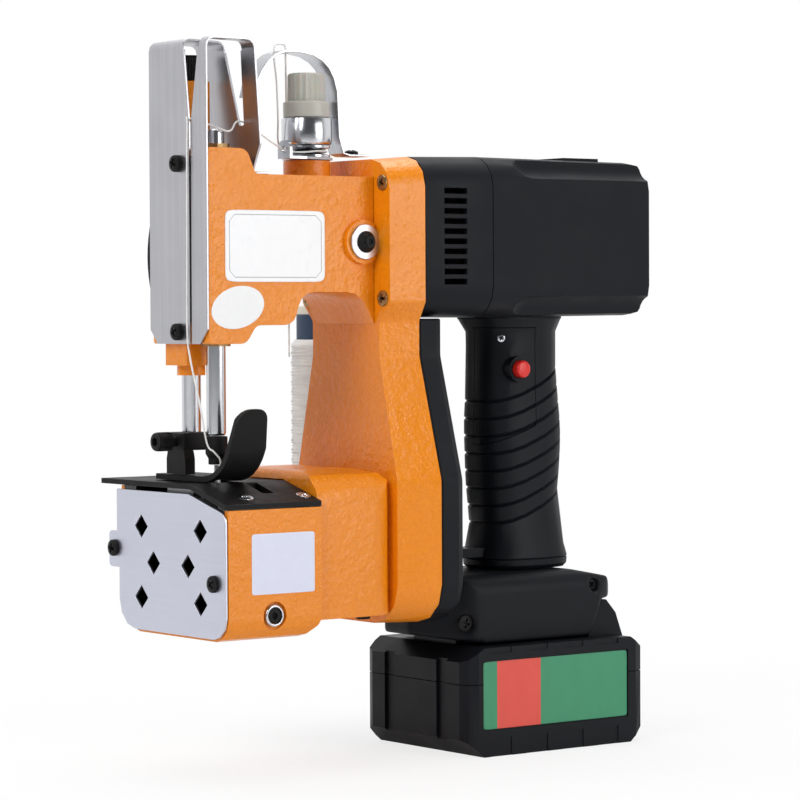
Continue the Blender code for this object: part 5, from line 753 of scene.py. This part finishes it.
def thread_pieces():
    """The spool with its thread, the presser spring, and the thread to the needle."""
    spool = (SPOOL_X, SPOOL_Y, 0)
    card_tube(spool)
    wound_package()
    outer_strands(spool)
    spring_coil()
    sewing_thread()


# The thread's way from the package over the guide, round the tension discs and down the face cover to the
# needle, in millimetres
THREAD_ROUTE = (
    (-50.24, 95.07, 171.6), (-70.36, 66.67, 209.82), (-90.48, 38.27, 248.04), (-107.24, 14.6, 279.89),
    (-114.62, 4.19, 293.9), (-117.3, 0.4, 299.0), (-117.8, 0, 304.2), (-120.5, 0, 304.95),
    (-123.2, 0, 304.2), (-123.5, 0, 299.0), (-121.6, 1.0, 289.0), (-119.6, 3.0, 274.0),
    (-119.0, 4.0, 265.0), (-116.6, 4.8, 260.4), (-110.59, 7.7, 260.0), (-104.8, 8.21, 260.0),
    (-100.04, 4.88, 260.0), (-98.53, -0.74, 260.0), (-100.99, -6.01, 260.0), (-106.26, -8.47, 260.0),
    (-124.4, -9.0, 260.0), (-146.4, -9.75, 271.0), (-155.0, -13.85, 267.0), (-160.0, -15.35, 267.0),
    (-171.8, -9.35, 271.5), (-173.3, -9.15, 266.0), (-173.2, -8.35, 219.0), (-173.2, -8.05, 185.0),
    (-172.1, -8.45, 173.0), (-168.0, -8.85, 155.1), (-165.5, -10.55, 138.1), (-163.9, -13.35, 134.5),
    (-161.3, -14.05, 131.0), (-160.4, -12.15, 125.6), (-160.0, -11.35, 121.1), (-160.0, -11.35, 108.1))
# The run, in metres, slants away from the spool, so that no other stretch of the thread lies along it.
NEEDLE_RUN = ((-0.1732, -0.00805, 0.185), (-0.1882, -0.02305, 0.1625))


def sewing_thread():
    """A two-ply thread on a Catmull-Rom curve through the route, read as one array of equal steps."""
    knots = np.array(THREAD_ROUTE)
    knots = np.vstack((2 * knots[0] - knots[1], knots, 2 * knots[-1] - knots[-2]))
    a, b, c, d = (knots[i:len(knots) - 3 + i, None] for i in range(4))
    t = np.linspace(0, 1, 24, endpoint=False)[None, :, None]
    read = b + ((c - a) * t + (2 * a - 5 * b + 4 * c - d) * t ** 2 + (3 * b - a - 3 * c + d) * t ** 3) / 2
    path = np.vstack((read.reshape(-1, 3), knots[-2]))
    thread = piece("sewing_thread_strand", [swept(path, 0.42, sides=12, lay=2.6, plies=2)], STRAND,
                   ("machine", "needle_carriage", *NEEDLE_RUN), ["sewing_thread"], 180)


def fasteners():
    """Small screws, each a polar head with its recess, seated on the face that it holds."""
    front, up, near = (-1, 0, 0), (0, 0, 1), (0, -1, 0)
    blacks = [screw((COVER_FACE, -0.8, 253.4), front, 3.5, 3.4, 0.28, cross_recess, 0.4),
              screw((COVER_FACE, -0.8, 184.0), front, 3.5, 3.4, 0.28, cross_recess, 1.1),
              screw((LOOPER_FACE, 44.6, 92.4), front, 3.5, 2.4, 0.3, cross_recess, 0.2),
              screw((LOOPER_FACE, -31.4, 81.7), front, 3.5, 2.4, 0.3, cross_recess, 0.9),
              screw((-141.0, 3.0, 250.3), up, 2.9, 1.9, 0.45, cross_recess, 0.3),
              screw((-83.6, 0, 259.2), up, 3.0, 2.2, 0.4, cross_recess, 0.7),
              screw((-97.5, -26.0, 64.6), (0, 0, -1), 3.1, 2.3, 0.1, hex_recess)]
    piece("black_screws", blacks, BLACKED, "machine")
    piece("flange_screws", [
        screw((FLANGE_FACE, side * 27.3, z), front, 3.3, 1.3, 0.35, cross_recess, turn)
        for side, z, turn in ((-1, 246.4, 0.5), (-1, 197.6, 0.1), (1, 246.4, 1.0), (1, 197.6, 0.7))],
        BRASS, "machine")
    slope = (0, -0.275, 0.961)
    piece("plate_screws", [
        screw((x, -32.5, 116.2), slope, 3.1, 0.45, 0.1, cross_recess, turn)
        for x, turn in ((-161, 0.4), (-132.5, 1.0))],
        CHROME, "machine")
    piece("housing_sleeve", [
        hoop(eased(((3.5, -37.6), (3.5, -39.6), (4.2, -39.6), (4.5, -39.2), (4.5, -37.6), (3.5, -37.6)), 0.2),
             (-151.8, 0, 68.0), Y_AXIS, 72)], CHROME, "machine")
    piece("sleeve_screw", [screw((-151.8, -37.6, 68.0), near, 3.2, 1.7, 0.05, hex_recess)],
          BLACKED, "machine")
    piece("foot_screws", [screw((-42.0, -24.1, 57.0), near, 3.5, 1.6, 0.2, cross_recess, 0.3),
                          screw((29.0, -24.1, 70.0), near, 2.6, 1.6, 0.2, cross_recess, 0.8)],
          BLACKED, "machine")
    piece("switch_cover_screw", [
        screw((-11.3, -12.1, 180.0), (-0.54, -0.84, 0), 1.7, 0.9, 0.3, cross_recess, 0.5)],
        CHROME, "machine")


def labels():
    """Bare plates and films, each a thin superellipse pad on the face that carries it."""
    plate = (PLATE_CENTRE[0], ARM_FLANK, PLATE_CENTRE[1])
    piece("nameplate_blank", [patch(plate, X_AXIS, Z_AXIS, PLATE_HALF, 14, 0.5)],
          PLATE, "machine", sharp=50)
    piece("oval_sticker", [
        patch((-156.8, ARM_FLANK, 194.0), X_AXIS, Z_AXIS, (13.2, 8.6), 2.0, 0.15, tilt=0.22)],
        STICKER, "machine", sharp=50)
    piece("housing_sticker", [patch((-147.6, BOX_FLANK, 89.4), X_AXIS, Z_AXIS, (15.6, 12.4), 30, 0.15)],
          BLUE_STICKER, "machine", sharp=50)
    piece("battery_label_film", [patch((-1.0, LABEL_FACE, 26.5), X_AXIS, Z_AXIS, (40.6, 14.6), 40, 0.15)],
          LABEL, "battery", sharp=50)


# The studio: the direction of the white backdrop, the sky's level for diffuse and for mirrored rays, and the
# lamps by name, place, target, size and power
BEHIND = (0.6, 0.8, 0.0)
SKY = (0.34, 0.08)
LAMPS = (
    ("key_light", (-1.2, -0.35, 0.85), (-0.08, 0, 0.16), 0.7, 8.0),
    ("flank_light", (0.45, -1.15, 0.45), (-0.06, 0, 0.17), 0.7, 6.0),
    ("top_light", (0.05, 0.2, 1.2), (-0.06, 0, 0.15), 0.9, 10.0))


def pale_floor():
    """A floor that is white to the camera away from the object, and shadowed near it."""
    side = 14.0
    mesh = bpy.data.meshes.new("floor")
    corners = [(-side, -side, 0), (side, -side, 0), (side, side, 0), (-side, side, 0)]
    mesh.from_pydata(corners, [], [(0, 1, 2, 3)])
    floor = bpy.data.objects.new("floor", mesh)
    bpy.context.scene.collection.objects.link(floor)
    cloth = Finish("floor", (0.86, 0.86, 0.86), 0.9)
    path = cloth.add("ShaderNodeLightPath").outputs
    away = cloth.add("ShaderNodeVectorMath", {0: cloth.place}, operation="LENGTH").outputs["Value"]
    towards = {0: cloth.place, 1: BEHIND}
    ahead = cloth.add("ShaderNodeVectorMath", towards, operation="DOT_PRODUCT").outputs["Value"]
    mirrored = cloth.math("MULTIPLY", path["Is Glossy Ray"], cloth.spread(ahead, -0.1, 0.3))
    straight = cloth.math("MAXIMUM", path["Is Camera Ray"], path["Is Transmission Ray"])
    seen = cloth.math("MAXIMUM", straight, mirrored)
    share = cloth.math("MULTIPLY", seen, cloth.spread(away, 0.1, 0.42, 0.78, 1.0))
    glow = cloth.add("ShaderNodeEmission", {"Color": (1, 1, 1, 1)}).outputs[0]
    mix = cloth.add("ShaderNodeMixShader", {0: share, 1: cloth.shader.outputs[0], 2: glow}).outputs[0]
    cloth.tree.links.new(mix, cloth.tree.nodes["Material Output"].inputs["Surface"])
    mesh.materials.append(cloth.material)


def studio_sky():
    """An even sky, which is white to the camera and to mirrored rays that go towards the backdrop."""
    world = bpy.data.worlds.new("studio")
    bpy.context.scene.world = world
    world.use_nodes = True
    tree = world.node_tree
    path = wire(tree, "ShaderNodeLightPath").outputs
    towards = {0: wire(tree, "ShaderNodeTexCoord").outputs["Generated"], 1: BEHIND}
    ahead = wire(tree, "ShaderNodeVectorMath", towards, operation="DOT_PRODUCT").outputs["Value"]
    span = {"Value": ahead, "From Min": -0.2, "From Max": 0.2}
    backdrop = wire(tree, "ShaderNodeMapRange", span).outputs["Result"]
    glossy = {0: backdrop, 1: path["Is Glossy Ray"]}
    mirrored = wire(tree, "ShaderNodeMath", glossy, operation="MULTIPLY").outputs[0]
    rays = {0: path["Is Camera Ray"], 1: path["Is Transmission Ray"]}
    straight = wire(tree, "ShaderNodeMath", rays, operation="MAXIMUM").outputs[0]
    whole = wire(tree, "ShaderNodeMath", {0: straight, 1: mirrored}, operation="MAXIMUM").outputs[0]
    levels = {"Value": path["Is Glossy Ray"], "To Min": SKY[0], "To Max": SKY[1]}
    strength = wire(tree, "ShaderNodeMapRange", levels).outputs["Result"]
    sky = wire(tree, "ShaderNodeBackground", {"Color": (0.95, 0.97, 1, 1), "Strength": strength}).outputs[0]
    white = wire(tree, "ShaderNodeBackground", {"Color": (1, 1, 1, 1), "Strength": 1.0}).outputs[0]
    mix = wire(tree, "ShaderNodeMixShader", {0: whole, 1: sky, 2: white}).outputs[0]
    tree.links.new(mix, tree.nodes["World Output"].inputs["Surface"])


def softbox(name, place, target, size, power):
    """A square lamp that faces its target."""
    light = bpy.data.lights.new(name, "AREA")
    light.shape = "SQUARE"
    light.size = size
    light.energy = power
    obj = bpy.data.objects.new(name, light)
    obj.location = place
    obj.rotation_euler = (Vector(target) - Vector(place)).to_track_quat("-Z", "Y").to_euler()
    bpy.context.scene.collection.objects.link(obj)


def stage():
    """The floor, the sky and the lamps."""
    pale_floor()
    studio_sky()
    for lamp in LAMPS:
        softbox(*lamp)


def camera():
    """The photograph's view: a long lens from the needle end's near side, almost level."""
    lens = bpy.data.cameras.new("photo_view")
    lens.sensor_width = 36.0
    lens.lens = 145.485
    lens.clip_end = 50.0
    obj = bpy.data.objects.new("photo_view", lens)
    right = Vector((0.79991, -0.60010, -0.00464))
    down = Vector((-0.02047, -0.01955, -0.99960))
    ahead = Vector((0.59977, 0.79969, -0.02792))
    turn = Matrix((right, -down, -ahead)).transposed().to_4x4()
    obj.matrix_world = Matrix.Translation((-0.90109, -1.12412, 0.19275)) @ turn
    bpy.context.scene.collection.objects.link(obj)
    bpy.context.scene.camera = obj


camera()
stage()
thread_pieces()
dress_shells()
turned_pieces()
fasteners()
labels()
bpy.context.scene.view_settings.view_transform = "Standard"
